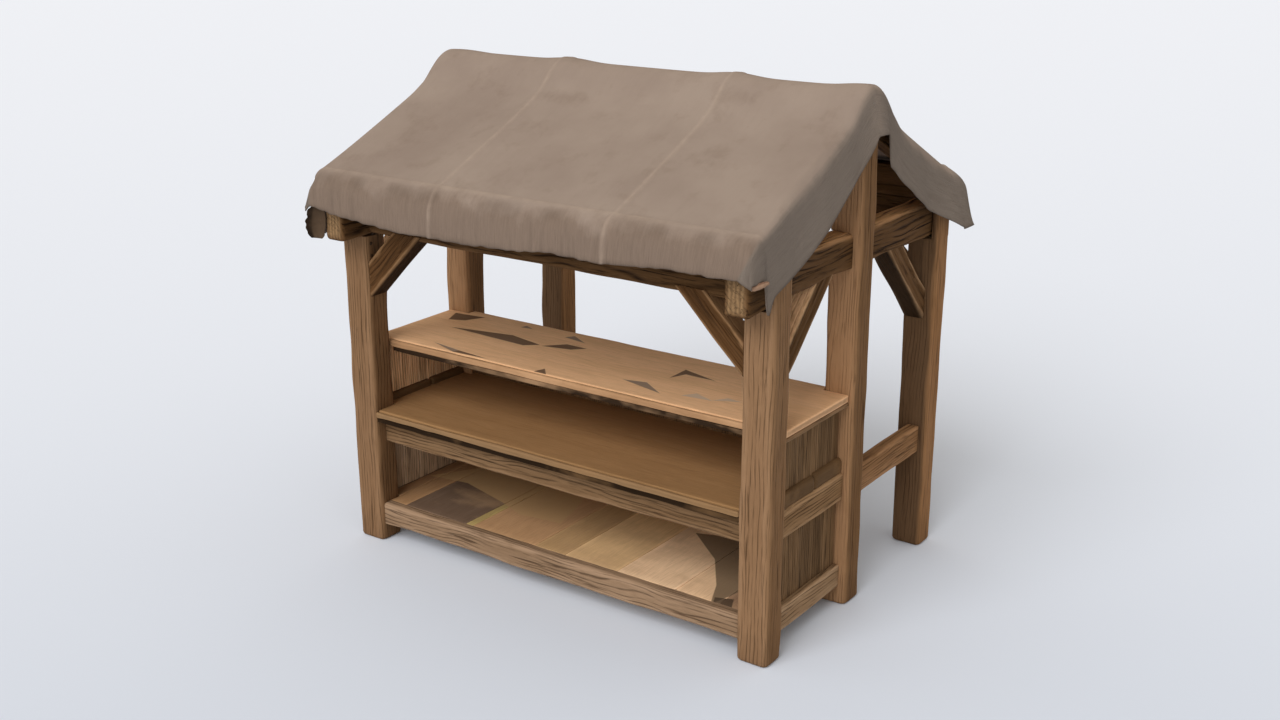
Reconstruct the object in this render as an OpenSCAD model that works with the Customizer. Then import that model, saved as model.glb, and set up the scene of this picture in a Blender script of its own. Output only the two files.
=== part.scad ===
// Wooden market stall: a timber frame of six posts with a shelved counter between
// the front and king posts, under a cloth roof laid over ridge, rafters and eave beams.
// Millimetres, +Z up, front (the customers' side) towards -Y.
// The origin is on the ground under the middle of the roof.

/* [Posts] */
// Width of the frame over the outer faces of the posts
stall_w = 2400; // [2000:10:3000]
// Width of a post, along X
post_w = 158; // [120:1:200]
// Depth of a post, along Y
post_d = 137; // [100:1:180]
// From the front face of the front posts to the front face of the king posts
counter_bay = 712; // [600:1:900]
// From the front face of the king posts to the front face of the rear posts
rear_bay = 785; // [650:1:1000]
// Height of the king posts, which carry the ridge beam
king_h = 2180; // [2120:1:2400]
// Part of a post's width that runs up outside the tie beam
cheek = 38; // [25:1:60]
// Planed edge along a post
post_chamfer = 9; // [2:0.5:15]
// Worn edge round a post's foot
foot_chamfer = 18; // [6:1:30]

/* [Tie beams and plates] */
// Height of the underside of the tie beams and plates
tie_z = 1615; // [1500:1:1700]
// Depth of the tie beams and plates
tie_h = 145; // [110:1:170]
// How far the tie beams reach out in front of the front posts
tie_nose = 144; // [120:1:200]
// Depth of the cross halving of tie beam and king post
halving = 60; // [30:1:80]
// Thickness of the front and rear plates
plate_t = 90; // [60:1:110]
// Planed edge along the beams
beam_chamfer = 7; // [2:0.5:12]

/* [Braces] */
// Leg of the braces between the posts and the plates
plate_brace_leg = 335; // [250:1:420]
// Leg of the braces between the posts and the tie beams
tie_brace_leg = 430; // [300:1:450]
// Leg of the shorter one on the left front post
left_tie_brace_leg = 335; // [250:1:450]
// Width of a brace, square to its length
brace_w = 108; // [70:1:130]
// Thickness of a brace
brace_t = 78; // [50:1:88]
// Width of the two flutes along a brace's faces
flute_w = 12; // [6:1:20]
// Depth of the flutes
flute_deep = 7; // [3:0.5:12]

/* [Roof timbers] */
// Width of the eave beams
eave_w = 100; // [80:1:130]
// Depth of the eave beams
eave_h = 150; // [110:1:180]
// Set-back of the front eave beam from the noses of the tie beams
eave_back = 19; // [5:1:25]
// Thickness of the ridge beam
ridge_w = 90; // [70:1:120]
// Depth of the ridge beam
ridge_h = 182; // [175:1:240]
// Planed edge along the top of the ridge beam
ridge_chamfer = 20; // [10:1:25]
// How far the ridge stands over the line of the rafters
ridge_proud = 46; // [30:1:60]
// Reach of the ridge and eave beams past the outer faces of the gable rafters
beam_reach = 12; // [2:1:20]
// Thickness of a rafter, along X
rafter_w = 72; // [50:1:90]
// Upright depth of a rafter
rafter_h = 95; // [80:1:95]
// Distance of the two inner rafter pairs from the middle
inner_rafter_x = 462; // [350:1:600]
// Depth of the housing in the eave beams for a rafter foot
housing = 60; // [40:1:80]
// Wood left in front of that housing
housing_lip = 20; // [12:1:30]

/* [Counter and shelves] */
// Height of the counter's top face
counter_z = 1032; // [900:1:1100]
// Thickness of the counter
counter_t = 37; // [28:1:50]
// Set-back of the counter's ends from the posts' outer faces
counter_in = 26; // [10:1:60]
// Thickness of the bearers under the counter's ends
bearer_t = 20; // [12:1:40]
// Width of those bearers
bearer_w = 60; // [40:1:70]
// Height of the middle shelf's top face
shelf_z = 698; // [620:1:760]
// Thickness of the middle shelf
shelf_t = 38; // [25:1:50]
// How far the middle shelf stands out in front of the front posts
shelf_nose = 4; // [0:1:20]
// Set-back of the middle shelf's ends from the posts' outer faces
shelf_in = 50; // [37:1:60]
// Distance of the joint between the shelf's two boards from the front posts' faces
shelf_joint = 500; // [300:1:600]
// Overhang of counter and shelf behind the back boards
back_lip = 3; // [0:1:20]
// Rounded edge of counter and shelf boards, as a chamfer
board_chamfer = 8; // [2:0.5:12]
// Height of the bottom shelf's top face, flush with the bottom rails
floor_z = 204; // [160:1:260]
// Thickness of the bottom shelf
floor_t = 30; // [20:1:45]

/* [Rails and panels] */
// Thickness of every rail
rail_t = 70; // [50:1:80]
// Depth of the front, side and back middle rails
middle_rail_h = 140; // [90:1:180]
// Depth of the bottom rails
bottom_rail_h = 119; // [90:1:140]
// Set-back of the front middle rail behind the front posts' faces
front_middle_in = 60; // [30:1:65]
// Set-back of the front bottom rail behind the front posts' faces
front_bottom_in = 20; // [0:1:60]
// Set-back of the side rails from the posts' outer faces
side_in = 36; // [10:1:60]
// Height of the underside of the rails between king and rear posts
rear_rail_z = 498; // [400:1:600]
// Depth of those rails
rear_rail_h = 144; // [100:1:180]
// Rebate in the bottom rails that the bottom shelf lies in
rebate = 20; // [12:1:30]
// Thickness of the boards in the side and back panels
panel_t = 22; // [15:1:30]
// Gap between that rebate and the panel boards
panel_gap = 2; // [0:0.5:6]
// Boards in a side panel below the middle shelf
lower_boards = 5; // [3:1:8]
// Boards in a side panel above the middle shelf
upper_boards = 9; // [5:1:12]
// Boards in the back panel
back_boards = 14; // [8:1:20]
// Depth of the grooves between the panel boards
groove = 5; // [2:0.5:7]

/* [Cloth] */
// Thickness of the cloth, as laid with its hems and folds
cloth_t = 6; // [4:0.5:10]
// Clearance of the cloth over the timbers that it lies on
cloth_gap = 0.3; // [0.2:0.1:1]
// Rise of the cloth over the ridge beam
crest_rise = 4; // [3:0.5:10]
// Radius of the crest
crest_r = 100; // [85:1:160]
// Sag of the cloth between the rafters
cloth_sag = 18; // [5:1:30]
// Start of the gable fold, past the gable rafters' outer faces
fold_start = 16; // [14:1:30]
// Radius of the gable fold
fold_r = 48; // [42:1:60]
// Fall of the gable flap below the rafter line, at the ridge
flap_fall = 150; // [110:1:200]
// Extra fall for each millimetre from the ridge
flap_slope = 0.42; // [0.3:0.01:0.5]
// How much the flap's edge, hollow in its length, rises again towards the eave
flap_ease = 250; // [150:1:300]
// How far the flaps swing out towards their lower edge
flap_flare = 30; // [20:1:50]
// Reach of the front hem out from the front eave beam
front_reach = 76; // [60:1:110]
// Fall of the front hem below the eave
front_drop = 188; // [160:1:230]
// Reach of the rear hem out from the rear eave beam
rear_reach = 120; // [60:1:160]
// Fall of the rear hem below the eave
rear_drop = 245; // [180:1:280]

/* [Hidden] */

post_colour = "#8a6a4a";
beam_colour = "#7a5a3c";
board_colour = "#a0764c";
panel_colour = "#5e4c3c";
cloth_colour = "#8f8377";

half_w = stall_w / 2;
inner_x = half_w - post_w;
tie_x = half_w - cheek;
tie_top = tie_z + tie_h;

// Places along Y before the model is centred under the roof: front posts' faces at zero
king_y = counter_bay;
rear_y = counter_bay + rear_bay;
frame_d = rear_y + post_d;
ridge_y = king_y + post_d / 2;
front_eave_y = eave_back - tie_nose;
rear_eave_y = rear_y + eave_w;
front_hem_y = front_eave_y - front_reach - cloth_t;
rear_hem_y = rear_eave_y + rear_reach + cloth_t;
centre_y = (front_hem_y + rear_hem_y) / 2;

// Heights of the roof timbers, and how steep the two slopes are
eave_top = tie_top + eave_h;
ridge_top = king_h + ridge_h;
rafter_crown = ridge_top - ridge_proud;
front_run = ridge_y - front_eave_y;
rear_run = rear_eave_y - ridge_y;
front_pitch = (rafter_crown - eave_top) / front_run;
rear_pitch = (rafter_crown - eave_top) / rear_run;
gable_rafter_x = tie_x - (post_w - cheek) / 2;
gable_face_x = gable_rafter_x + rafter_w / 2;
rafter_places = [-gable_rafter_x, -inner_rafter_x, inner_rafter_x, gable_rafter_x];
beam_end_x = gable_face_x + beam_reach;

// Levels and faces of the counter's parts
side_rail_x = half_w - side_in;
middle_rail_z = shelf_z - shelf_t - middle_rail_h;
bottom_rail_z = floor_z - bottom_rail_h;
side_panel_x = side_rail_x - rail_t + rebate + panel_gap;
back_panel_y = king_y + rebate + panel_gap;
back_edge_y = back_panel_y + panel_t + back_lip;
bearer_z = counter_z - counter_t - bearer_t;
counter_end_x = half_w - counter_in;
shelf_end_x = half_w - shelf_in;

// A rectangle from corner a to corner b with its corners planed off by c
function planed(a, b, c) = [
    [a[0] + c, a[1]], [b[0] - c, a[1]], [b[0], a[1] + c], [b[0], b[1] - c],
    [b[0] - c, b[1]], [a[0] + c, b[1]], [a[0], b[1] - c], [a[0], a[1] + c]
];

// Turns an outline drawn in the XZ plane so that it runs along Y from y0 to y1
module along_y(y0, y1) {
    translate([0, y1, 0])
        rotate([90, 0, 0])
            linear_extrude(y1 - y0)
                children();
}

// Turns an outline drawn in the YZ plane so that it runs along X from x0 to x1
module along_x(x0, x1) {
    translate([x0, 0, 0])
        rotate([90, 0, 90])
            linear_extrude(x1 - x0)
                children();
}

// A beam along X, Y or Z between two corners, with planed long edges
module beam_x(a, b, c = beam_chamfer) {
    along_x(a[0], b[0])
        polygon(planed([a[1], a[2]], [b[1], b[2]], c));
}

module beam_y(a, b, c = beam_chamfer) {
    along_y(a[1], b[1])
        polygon(planed([a[0], a[2]], [b[0], b[2]], c));
}

// Copies what is made for the right side to the left for side = -1
module on_side(side) {
    mirror([side < 0 ? 1 : 0, 0, 0])
        children();
}

// Moves everything from the posts' frame to the middle of the roof
module placed(colour) {
    color(colour)
        translate([0, -centre_y, 0])
            children();
}

// A post from the ground to height h, planed along its edges and worn round its foot
module post(y, h) {
    intersection() {
        linear_extrude(h)
            polygon(planed([inner_x, y], [half_w, y + post_d], post_chamfer));
        along_y(y, y + post_d)
            polygon([
                [inner_x + foot_chamfer, 0], [half_w - foot_chamfer, 0],
                [half_w, foot_chamfer], [half_w, h], [inner_x, h], [inner_x, foot_chamfer]
            ]);
        along_x(inner_x, half_w)
            polygon([
                [y + foot_chamfer, 0], [y + post_d - foot_chamfer, 0],
                [y + post_d, foot_chamfer], [y + post_d, h], [y, h], [y, foot_chamfer]
            ]);
    }
}

// A corner post: its head is rebated so that the tie beam sits on it inside a cheek
module corner_post(side, y) {
    placed(post_colour)
        on_side(side)
            difference() {
                post(y, tie_top);
                translate([inner_x - 1, y - 1, tie_z])
                    cube([tie_x - inner_x + 1, post_d + 2, tie_h + 1]);
            }
}

// A king post: notched from inside where it crosses the tie beam, under the ridge beam
module king_post(side) {
    placed(post_colour)
        on_side(side)
            difference() {
                post(king_y, king_h);
                translate([inner_x - 1, king_y - 1, tie_z])
                    cube([tie_x - halving - inner_x + 1, post_d + 2, tie_h]);
            }
}

// A tie beam: nose in front of the front post, halved over the king post
module tie_beam(side) {
    placed(beam_colour)
        on_side(side)
            difference() {
                beam_y([inner_x, -tie_nose, tie_z], [tie_x, frame_d, tie_top]);
                translate([tie_x - halving, king_y, tie_z - 1])
                    cube([halving + 1, post_d, tie_h + 2]);
            }
}

// A plate between the corner posts, against the tie beams, centred on the posts' depth
module plate(y) {
    near = y + (post_d - plate_t) / 2;
    placed(beam_colour)
        beam_x([-inner_x, near, tie_z], [inner_x, near + plate_t, tie_top]);
}

// The outline of a brace in the corner under a beam and beside a post, corner at the origin
module brace_outline(leg) {
    cut = brace_w * sqrt(2);
    polygon([[0, -leg], [leg, 0], [leg - cut, 0], [0, cut - leg]]);
}

// A brace of thickness brace_t along Z, with two flutes along both faces
module brace(leg) {
    difference() {
        linear_extrude(brace_t)
            brace_outline(leg);
        for (third = [1, 2], face = [0, brace_t])
            translate([leg / 2, -leg / 2, face])
                rotate([0, 0, 45])
                    translate([-leg, third * brace_w / 3 - flute_w / 2, -flute_deep])
                        cube([2 * leg, flute_w, 2 * flute_deep]);
    }
}

// A brace from a corner post to the plate, in the plane of the plate
module plate_brace(side, y) {
    placed(beam_colour)
        on_side(side)
            translate([inner_x, y + (post_d + brace_t) / 2, tie_z])
                rotate([90, 0, 0])
                    mirror([1, 0, 0])
                        brace(plate_brace_leg);
}

// A brace from a corner post's face at y to the tie beam, towards the middle of the stall
module tie_brace(side, y, towards, leg = tie_brace_leg) {
    placed(beam_colour)
        on_side(side)
            translate([gable_rafter_x - brace_t / 2, y, tie_z])
                mirror([0, towards < 0 ? 1 : 0, 0])
                    rotate([90, 0, 90])
                        brace(leg);
}

// The ridge beam on the king posts, its upper edges planed for the cloth
module ridge_beam() {
    near = ridge_y - ridge_w / 2;
    far = ridge_y + ridge_w / 2;
    placed(beam_colour)
        along_x(-beam_end_x, beam_end_x)
            polygon([
                [near, king_h], [far, king_h], [far, ridge_top - ridge_chamfer],
                [far - ridge_chamfer, ridge_top], [near + ridge_chamfer, ridge_top],
                [near, ridge_top - ridge_chamfer]
            ]);
}

// An eave beam on the tie beams; out is -1 for the front and 1 for the rear
module eave_beam(face, out) {
    placed(beam_colour)
        translate([0, face, 0])
            mirror([0, out < 0 ? 1 : 0, 0])
                difference() {
                    beam_x([-beam_end_x, -eave_w, tie_top], [beam_end_x, 0, eave_top]);
                    for (x = rafter_places)
                        translate([x - rafter_w / 2, -eave_w - 1, eave_top - housing])
                            cube([rafter_w, eave_w - housing_lip + 1, housing + 1]);
                }
}

// A rafter's outline from the ridge beam's side, at run zero, to its foot in the eave housing
module rafter_outline(run, pitch) {
    top = ridge_w / 2;
    foot = run - housing_lip;
    seat = eave_top - housing;
    heel = (rafter_crown - rafter_h - seat) / pitch;
    polygon([
        [top, rafter_crown - pitch * top], [top, rafter_crown - pitch * top - rafter_h],
        [heel, seat], [foot, seat], [foot, rafter_crown - pitch * foot]
    ]);
}

// A pair of rafters at x, one on each slope
module rafters(x) {
    placed(beam_colour)
        translate([0, ridge_y, 0]) {
            mirror([0, 1, 0])
                along_x(x - rafter_w / 2, x + rafter_w / 2)
                    rafter_outline(front_run, front_pitch);
            along_x(x - rafter_w / 2, x + rafter_w / 2)
                rafter_outline(rear_run, rear_pitch);
        }
}

// A bottom rail's section: outline from its outer to its inner face, rebated for the shelf
module rebated(outer, inner) {
    step = outer < inner ? -rebate : rebate;
    difference() {
        polygon(planed(
            [min(outer, inner), bottom_rail_z], [max(outer, inner), floor_z], beam_chamfer
        ));
        translate([min(inner, inner + step), floor_z - floor_t])
            square([rebate, floor_t + 1]);
    }
}

module front_bottom_rail() {
    placed(beam_colour)
        along_x(-inner_x, inner_x)
            rebated(front_bottom_in, front_bottom_in + rail_t);
}

module back_bottom_rail() {
    placed(beam_colour)
        along_x(-inner_x, inner_x)
            rebated(king_y + rail_t, king_y);
}

module side_bottom_rail(side) {
    placed(beam_colour)
        on_side(side)
            along_y(post_d, king_y)
                rebated(side_rail_x, side_rail_x - rail_t);
}

module front_middle_rail() {
    placed(beam_colour)
        beam_x(
            [-inner_x, front_middle_in, middle_rail_z],
            [inner_x, front_middle_in + rail_t, middle_rail_z + middle_rail_h]
        );
}

module back_middle_rail() {
    placed(beam_colour)
        beam_x(
            [-inner_x, king_y, middle_rail_z],
            [inner_x, king_y + rail_t, middle_rail_z + middle_rail_h]
        );
}

module side_middle_rail(side) {
    placed(beam_colour)
        on_side(side)
            beam_y(
                [side_rail_x - rail_t, post_d, middle_rail_z],
                [side_rail_x, king_y, middle_rail_z + middle_rail_h]
            );
}

// The rail beside the seller's place, from king post to rear post
module rear_rail(side) {
    placed(beam_colour)
        on_side(side)
            beam_y(
                [side_rail_x - rail_t, king_y + post_d, rear_rail_z],
                [side_rail_x, rear_y, rear_rail_z + rear_rail_h]
            );
}

// A board that fills the width between the posts from front to back, and reaches out to
// end_x between the front and the king posts
module board_plan(end_x, front, back) {
    translate([-inner_x, front])
        square([2 * inner_x, back - front]);
    translate([-end_x, post_d])
        square([2 * end_x, king_y - post_d]);
}

// The bottom shelf, lying in the rebates of the four bottom rails
module bottom_shelf() {
    front = front_bottom_in + rail_t - rebate;
    placed(board_colour)
        translate([0, 0, floor_z - floor_t])
            linear_extrude(floor_t)
                board_plan(side_rail_x - rail_t + rebate, front, king_y + rebate);
}

// The middle shelf on the middle rails, of two boards, with rounded nose and ends
module middle_shelf() {
    under = shelf_z - shelf_t;
    placed(board_colour)
        difference() {
            intersection() {
                translate([0, 0, under])
                    linear_extrude(shelf_t)
                        board_plan(shelf_end_x, -shelf_nose, back_edge_y);
                beam_x(
                    [-shelf_end_x, -shelf_nose, under], [shelf_end_x, back_edge_y, shelf_z],
                    board_chamfer
                );
                beam_y(
                    [-shelf_end_x, -shelf_nose, under], [shelf_end_x, back_edge_y, shelf_z],
                    board_chamfer
                );
            }
            along_x(-half_w, half_w)
                polygon([
                    [shelf_joint - groove, shelf_z + 1], [shelf_joint, shelf_z - groove],
                    [shelf_joint + groove, shelf_z + 1]
                ]);
        }
}

// The counter behind the front posts, on its bearers and the back boards
module counter_top() {
    under = counter_z - counter_t;
    placed(board_colour)
        intersection() {
            translate([0, 0, under])
                linear_extrude(counter_t)
                    board_plan(counter_end_x, post_d, back_edge_y);
            beam_x(
                [-counter_end_x, post_d, under], [counter_end_x, back_edge_y, counter_z],
                board_chamfer
            );
            beam_y(
                [-counter_end_x, post_d, under], [counter_end_x, back_edge_y, counter_z],
                board_chamfer
            );
        }
}

// The strips under the counter's two ends, on top of the upper side panels
module counter_bearers() {
    placed(board_colour)
        for (side = [-1, 1])
            on_side(side)
                translate([counter_end_x - bearer_w, post_d, bearer_z])
                    cube([bearer_w, king_y - post_d, bearer_t]);
}

// The section of a panel from length a to b, in n boards with grooves on its outer face
module boarded(a, b, n) {
    difference() {
        translate([a, 0])
            square([b - a, panel_t]);
        for (k = [1:n - 1])
            translate([a + k * (b - a) / n, panel_t])
                polygon([[-groove, 1], [0, -groove], [groove, 1]]);
    }
}

// A side panel of upright boards between two heights
module side_panel(side, z0, z1, boards) {
    placed(panel_colour)
        on_side(side)
            translate([side_panel_x, 0, z0])
                mirror([1, -1, 0])
                    linear_extrude(z1 - z0)
                        boarded(post_d, king_y, boards);
}

// The back boards between the king posts, below and above the middle shelf
module back_panels() {
    levels = [[floor_z, middle_rail_z], [shelf_z, counter_z - counter_t]];
    placed(panel_colour)
        for (level = levels)
            translate([0, back_panel_y, level[0]])
                linear_extrude(level[1] - level[0])
                    boarded(-inner_x, inner_x, back_boards);
}

// Blends two heights into a smooth upper envelope over a band k
function smooth_max(a, b, k) = max(a, b) + pow(max(k - abs(a - b), 0), 2) / (4 * k);

// Height of the cloth's underside at distance d from the ridge: a round crest over the
// ridge beam that runs out into the straight line of the rafters
crest_blend = 60;
function slope_z(d, pitch) = smooth_max(
    ridge_top + crest_rise - d * d / (2 * crest_r), rafter_crown + cloth_gap - pitch * d, crest_blend
);

// The cloth past the eave's edge: t runs from the edge to the hem
function drop_out(t, reach) = reach * (1 - pow(1 - t, 3));
function drop_down(t, fall) = fall * pow(t, 1.6);

// Stations from a hem to the ridge and on to the other hem, as [distance, share of the drop]
drop_steps = 6;
slope_shares = [0.93, 0.78, 0.56, 0.36, 0.22];
crest_stations = [1.6, 1.2, 0.8, 0.45, 0.25];
function half_stations(run) = concat(
    [for (k = [drop_steps:-1:1]) [run, k / drop_steps]],
    [[run, 0]],
    [for (share = slope_shares) [run * share, 0]],
    [for (share = crest_stations) [crest_r * share, 0]]
);
function reversed(list) = [for (k = [len(list) - 1:-1:0]) list[k]];
front_stations = half_stations(front_run);
rear_stations = reversed(half_stations(rear_run));
stations = concat(
    [for (s = front_stations) [-1, s[0], s[1]]], [[-1, 0, 0]],
    [for (s = rear_stations) [1, s[0], s[1]]]
);

// Rows across the cloth, as [x, sag share, turn of the gable fold, share of the flap]
bay_steps = [0.25, 0.5, 0.75];
edge = rafter_w / 2;
function bay(x0, x1) = [
    for (share = bay_steps) [x0 + (x1 - x0) * share, 4 * share * (1 - share), 0, 0]
];
fold_turn = 60;
flap_steps = 4;
right_rows = concat(
    [[inner_rafter_x - edge, 0, 0, 0], [inner_rafter_x + edge, 0, 0, 0]],
    bay(inner_rafter_x + edge, gable_face_x - rafter_w),
    [[gable_face_x - rafter_w, 0, 0, 0], [gable_face_x + fold_start, 0, 0, 0]],
    [for (turn = [0.5, 1]) [gable_face_x + fold_start, 0, turn * fold_turn, 0]],
    [for (k = [1:flap_steps]) [gable_face_x + fold_start, 0, fold_turn, k / flap_steps]]
);
rows = concat(
    [for (r = reversed(right_rows)) [-r[0], r[1], r[2], r[3]]],
    bay(edge - inner_rafter_x, inner_rafter_x - edge),
    right_rows
);

// One point of the cloth's underside
function cloth_point(row, station) =
    let (front = station[0] < 0)
    let (d = station[1])
    let (t = station[2])
    let (pitch = front ? front_pitch : rear_pitch)
    let (reach = front ? front_reach : rear_reach)
    let (fall = front ? front_drop : rear_drop)
    let (run = front ? front_run : rear_run)
    let (out = d + drop_out(t, reach))
    let (sag = cloth_sag * row[1] * sin(180 * min(1, d / run)))
    let (fold_z = slope_z(d, pitch) - drop_down(t, fall) - sag - fold_r * (1 - cos(row[2])) * (1 - t))
    let (edge_z = rafter_crown - flap_fall - (pitch + flap_slope) * d + flap_ease * pow(d / run, 2))
    let (low_z = d < run ? edge_z : slope_z(run, pitch) - fall)
    let (x_out = fold_r * sin(row[2]) + flap_flare * row[3])
    [
        row[0] + sign(row[0]) * x_out,
        ridge_y + station[0] * out,
        fold_z + (min(low_z, fold_z - 12) - fold_z) * row[3]
    ];

// The cloth's outer side: each point moved out by the cloth's thickness along its normal
function unit(v) = v / norm(v);
function cloth_normal(grid, i, j) =
    let (across = grid[min(i + 1, len(grid) - 1)][j] - grid[max(i - 1, 0)][j])
    let (along = grid[i][min(j + 1, len(grid[0]) - 1)] - grid[i][max(j - 1, 0)])
    unit(cross(across, along));

// The roof cloth: one sheet over ridge, rafters and eaves, turned down at both gables
module canopy() {
    under = [for (row = rows) [for (station = stations) cloth_point(row, station)]];
    n = len(rows);
    m = len(stations);
    over = [
        for (i = [0:n - 1]) [for (j = [0:m - 1]) under[i][j] + cloth_t * cloth_normal(under, i, j)]
    ];
    points = concat([for (line = under) each line], [for (line = over) each line]);
    top = n * m;
    skins = [
        for (i = [0:n - 2], j = [0:m - 2])
            let (a = i * m + j, b = a + m)
            each [
                [a, b, b + 1], [a, b + 1, a + 1],
                [top + a, top + b + 1, top + b], [top + a, top + a + 1, top + b + 1]
            ]
    ];
    long_edges = [
        for (i = [0:n - 2])
            let (a = i * m, b = a + m, c = a + m - 1, d = c + m)
            each [
                [a, top + a, b], [b, top + a, top + b],
                [c, d, top + c], [d, top + d, top + c]
            ]
    ];
    gable_edges = [
        for (j = [0:m - 2])
            let (a = j, b = (n - 1) * m + j)
            each [
                [a, a + 1, top + a], [a + 1, top + a + 1, top + a],
                [b, top + b, b + 1], [b + 1, top + b, top + b + 1]
            ]
    ];
    placed(cloth_colour)
        polyhedron(points, concat(skins, long_edges, gable_edges));
}

corner_post(-1, 0);  // front_left_post
corner_post(1, 0);  // front_right_post
king_post(-1);  // king_left_post
king_post(1);  // king_right_post
corner_post(-1, rear_y);  // rear_left_post
corner_post(1, rear_y);  // rear_right_post
tie_beam(-1);  // left_tie_beam
tie_beam(1);  // right_tie_beam
plate(0);  // front_plate
plate(rear_y);  // rear_plate
plate_brace(-1, 0);  // front_left_brace
plate_brace(1, 0);  // front_right_brace
plate_brace(-1, rear_y);  // rear_left_brace
plate_brace(1, rear_y);  // rear_right_brace
tie_brace(-1, post_d, 1, left_tie_brace_leg);  // left_front_tie_brace
tie_brace(1, post_d, 1);  // right_front_tie_brace
tie_brace(-1, rear_y, -1);  // left_rear_tie_brace
tie_brace(1, rear_y, -1);  // right_rear_tie_brace
ridge_beam();
eave_beam(front_eave_y, -1);  // front_eave_beam
eave_beam(rear_eave_y, 1);  // rear_eave_beam
rafters(-gable_rafter_x);  // left_gable_rafters
rafters(-inner_rafter_x);  // left_inner_rafters
rafters(inner_rafter_x);  // right_inner_rafters
rafters(gable_rafter_x);  // right_gable_rafters
front_bottom_rail();
back_bottom_rail();
side_bottom_rail(-1);  // left_bottom_rail
side_bottom_rail(1);  // right_bottom_rail
front_middle_rail();
back_middle_rail();
side_middle_rail(-1);  // left_middle_rail
side_middle_rail(1);  // right_middle_rail
rear_rail(-1);  // left_rear_rail
rear_rail(1);  // right_rear_rail
bottom_shelf();
middle_shelf();
counter_top();
counter_bearers();
side_panel(-1, floor_z, middle_rail_z, lower_boards);  // left_lower_panel
side_panel(-1, shelf_z, bearer_z, upper_boards);  // left_upper_panel
side_panel(1, floor_z, middle_rail_z, lower_boards);  // right_lower_panel
side_panel(1, shelf_z, bearer_z, upper_boards);  // right_upper_panel
back_panels();
canopy();
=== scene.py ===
import math

import bpy
import numpy as np
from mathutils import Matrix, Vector


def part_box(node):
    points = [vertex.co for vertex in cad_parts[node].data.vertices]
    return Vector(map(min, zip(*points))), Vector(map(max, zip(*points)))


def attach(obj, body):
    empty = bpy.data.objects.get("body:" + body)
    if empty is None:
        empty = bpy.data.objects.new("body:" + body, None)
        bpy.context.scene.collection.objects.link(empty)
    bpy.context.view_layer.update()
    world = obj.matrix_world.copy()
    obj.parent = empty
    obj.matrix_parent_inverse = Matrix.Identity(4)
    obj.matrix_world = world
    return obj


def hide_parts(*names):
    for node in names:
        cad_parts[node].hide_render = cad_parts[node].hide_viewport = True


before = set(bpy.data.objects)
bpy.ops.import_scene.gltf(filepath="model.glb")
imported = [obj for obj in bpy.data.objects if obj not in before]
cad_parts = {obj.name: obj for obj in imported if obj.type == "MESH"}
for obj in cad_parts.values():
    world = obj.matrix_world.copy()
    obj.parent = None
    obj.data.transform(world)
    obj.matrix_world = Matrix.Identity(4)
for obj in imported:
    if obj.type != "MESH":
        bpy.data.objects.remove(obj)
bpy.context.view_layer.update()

# Camera
# It stands off the right front corner, a little above the ridge, and looks down on the stall.
# Its place and lens follow from the stall's straight edges in a frame of 1280 by 720.
camera_place = (4.0686, -5.7571, 3.2788)
view_turn = math.radians(35.1634)
view_fall = math.radians(18.2158)
sensor_width = 36.0
focal_pixels = 1522.4475
frame_pixels = 1280.0

lens = bpy.data.cameras.new("photo_camera")
lens.sensor_width = sensor_width
lens.lens = sensor_width * focal_pixels / frame_pixels
camera = bpy.data.objects.new("photo_camera", lens)
camera.location = camera_place
look = Vector((-math.sin(view_turn) * math.cos(view_fall),
               math.cos(view_turn) * math.cos(view_fall),
               -math.sin(view_fall)))
camera.rotation_euler = look.to_track_quat("-Z", "Y").to_euler()
bpy.context.scene.collection.objects.link(camera)
bpy.context.scene.camera = camera


# Posts
# Six squared posts stand on the ground: four corner posts with rebated heads for the tie beams, and
# two tall king posts that carry the ridge. Oak, hewn with an axe and worn round along the arrises. Tones
# by side paint light and shade: painted light on the king posts' counter side and the rear posts' right
# sides, and painted shade on the rear posts' fronts and on the front and king posts' right sides.
def smooth_noise(points, cell, seed):
    """Random numbers on a lattice of the given cell size, blended by a smooth step; about -1 to 1."""
    size = 32
    table = np.random.default_rng(seed).random((size, size, size)) * 2 - 1
    place = np.asarray(points) / np.asarray(cell)
    base = np.floor(place).astype(int)
    share = place - base
    share = share * share * (3 - 2 * share)
    total = np.zeros(place.shape[:-1])
    for corner in np.ndindex(2, 2, 2):
        at = (base + corner) % size
        weight = np.prod(np.where(corner, share, 1 - share), axis=-1)
        total += weight * table[at[..., 0], at[..., 1], at[..., 2]]
    return total


def grid_quads(rows, columns, closed=False, turned=False):
    """Four-cornered faces between the neighbours of a grid of points. A closed grid joins its last column
    to its first, and a turned one has its faces the other way round."""
    r, c = np.meshgrid(np.arange(rows - 1), np.arange(columns if closed else columns - 1), indexing="ij")
    beside = (c + 1) % columns
    quads = np.stack([r * columns + c, r * columns + beside,
                      (r + 1) * columns + beside, (r + 1) * columns + c], axis=-1).reshape(-1, 4)
    return quads[:, [0, 3, 2, 1]] if turned else quads


def pole_fan(pole, start, columns, turned=False):
    """Triangles between a pole and the ring of points from start on; turned ones face the other way."""
    p = np.arange(columns)
    following = (p + 1) % columns
    first, second = (following, p) if turned else (p, following)
    return np.stack([0 * p + pole, start + first, start + second], axis=-1)


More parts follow.
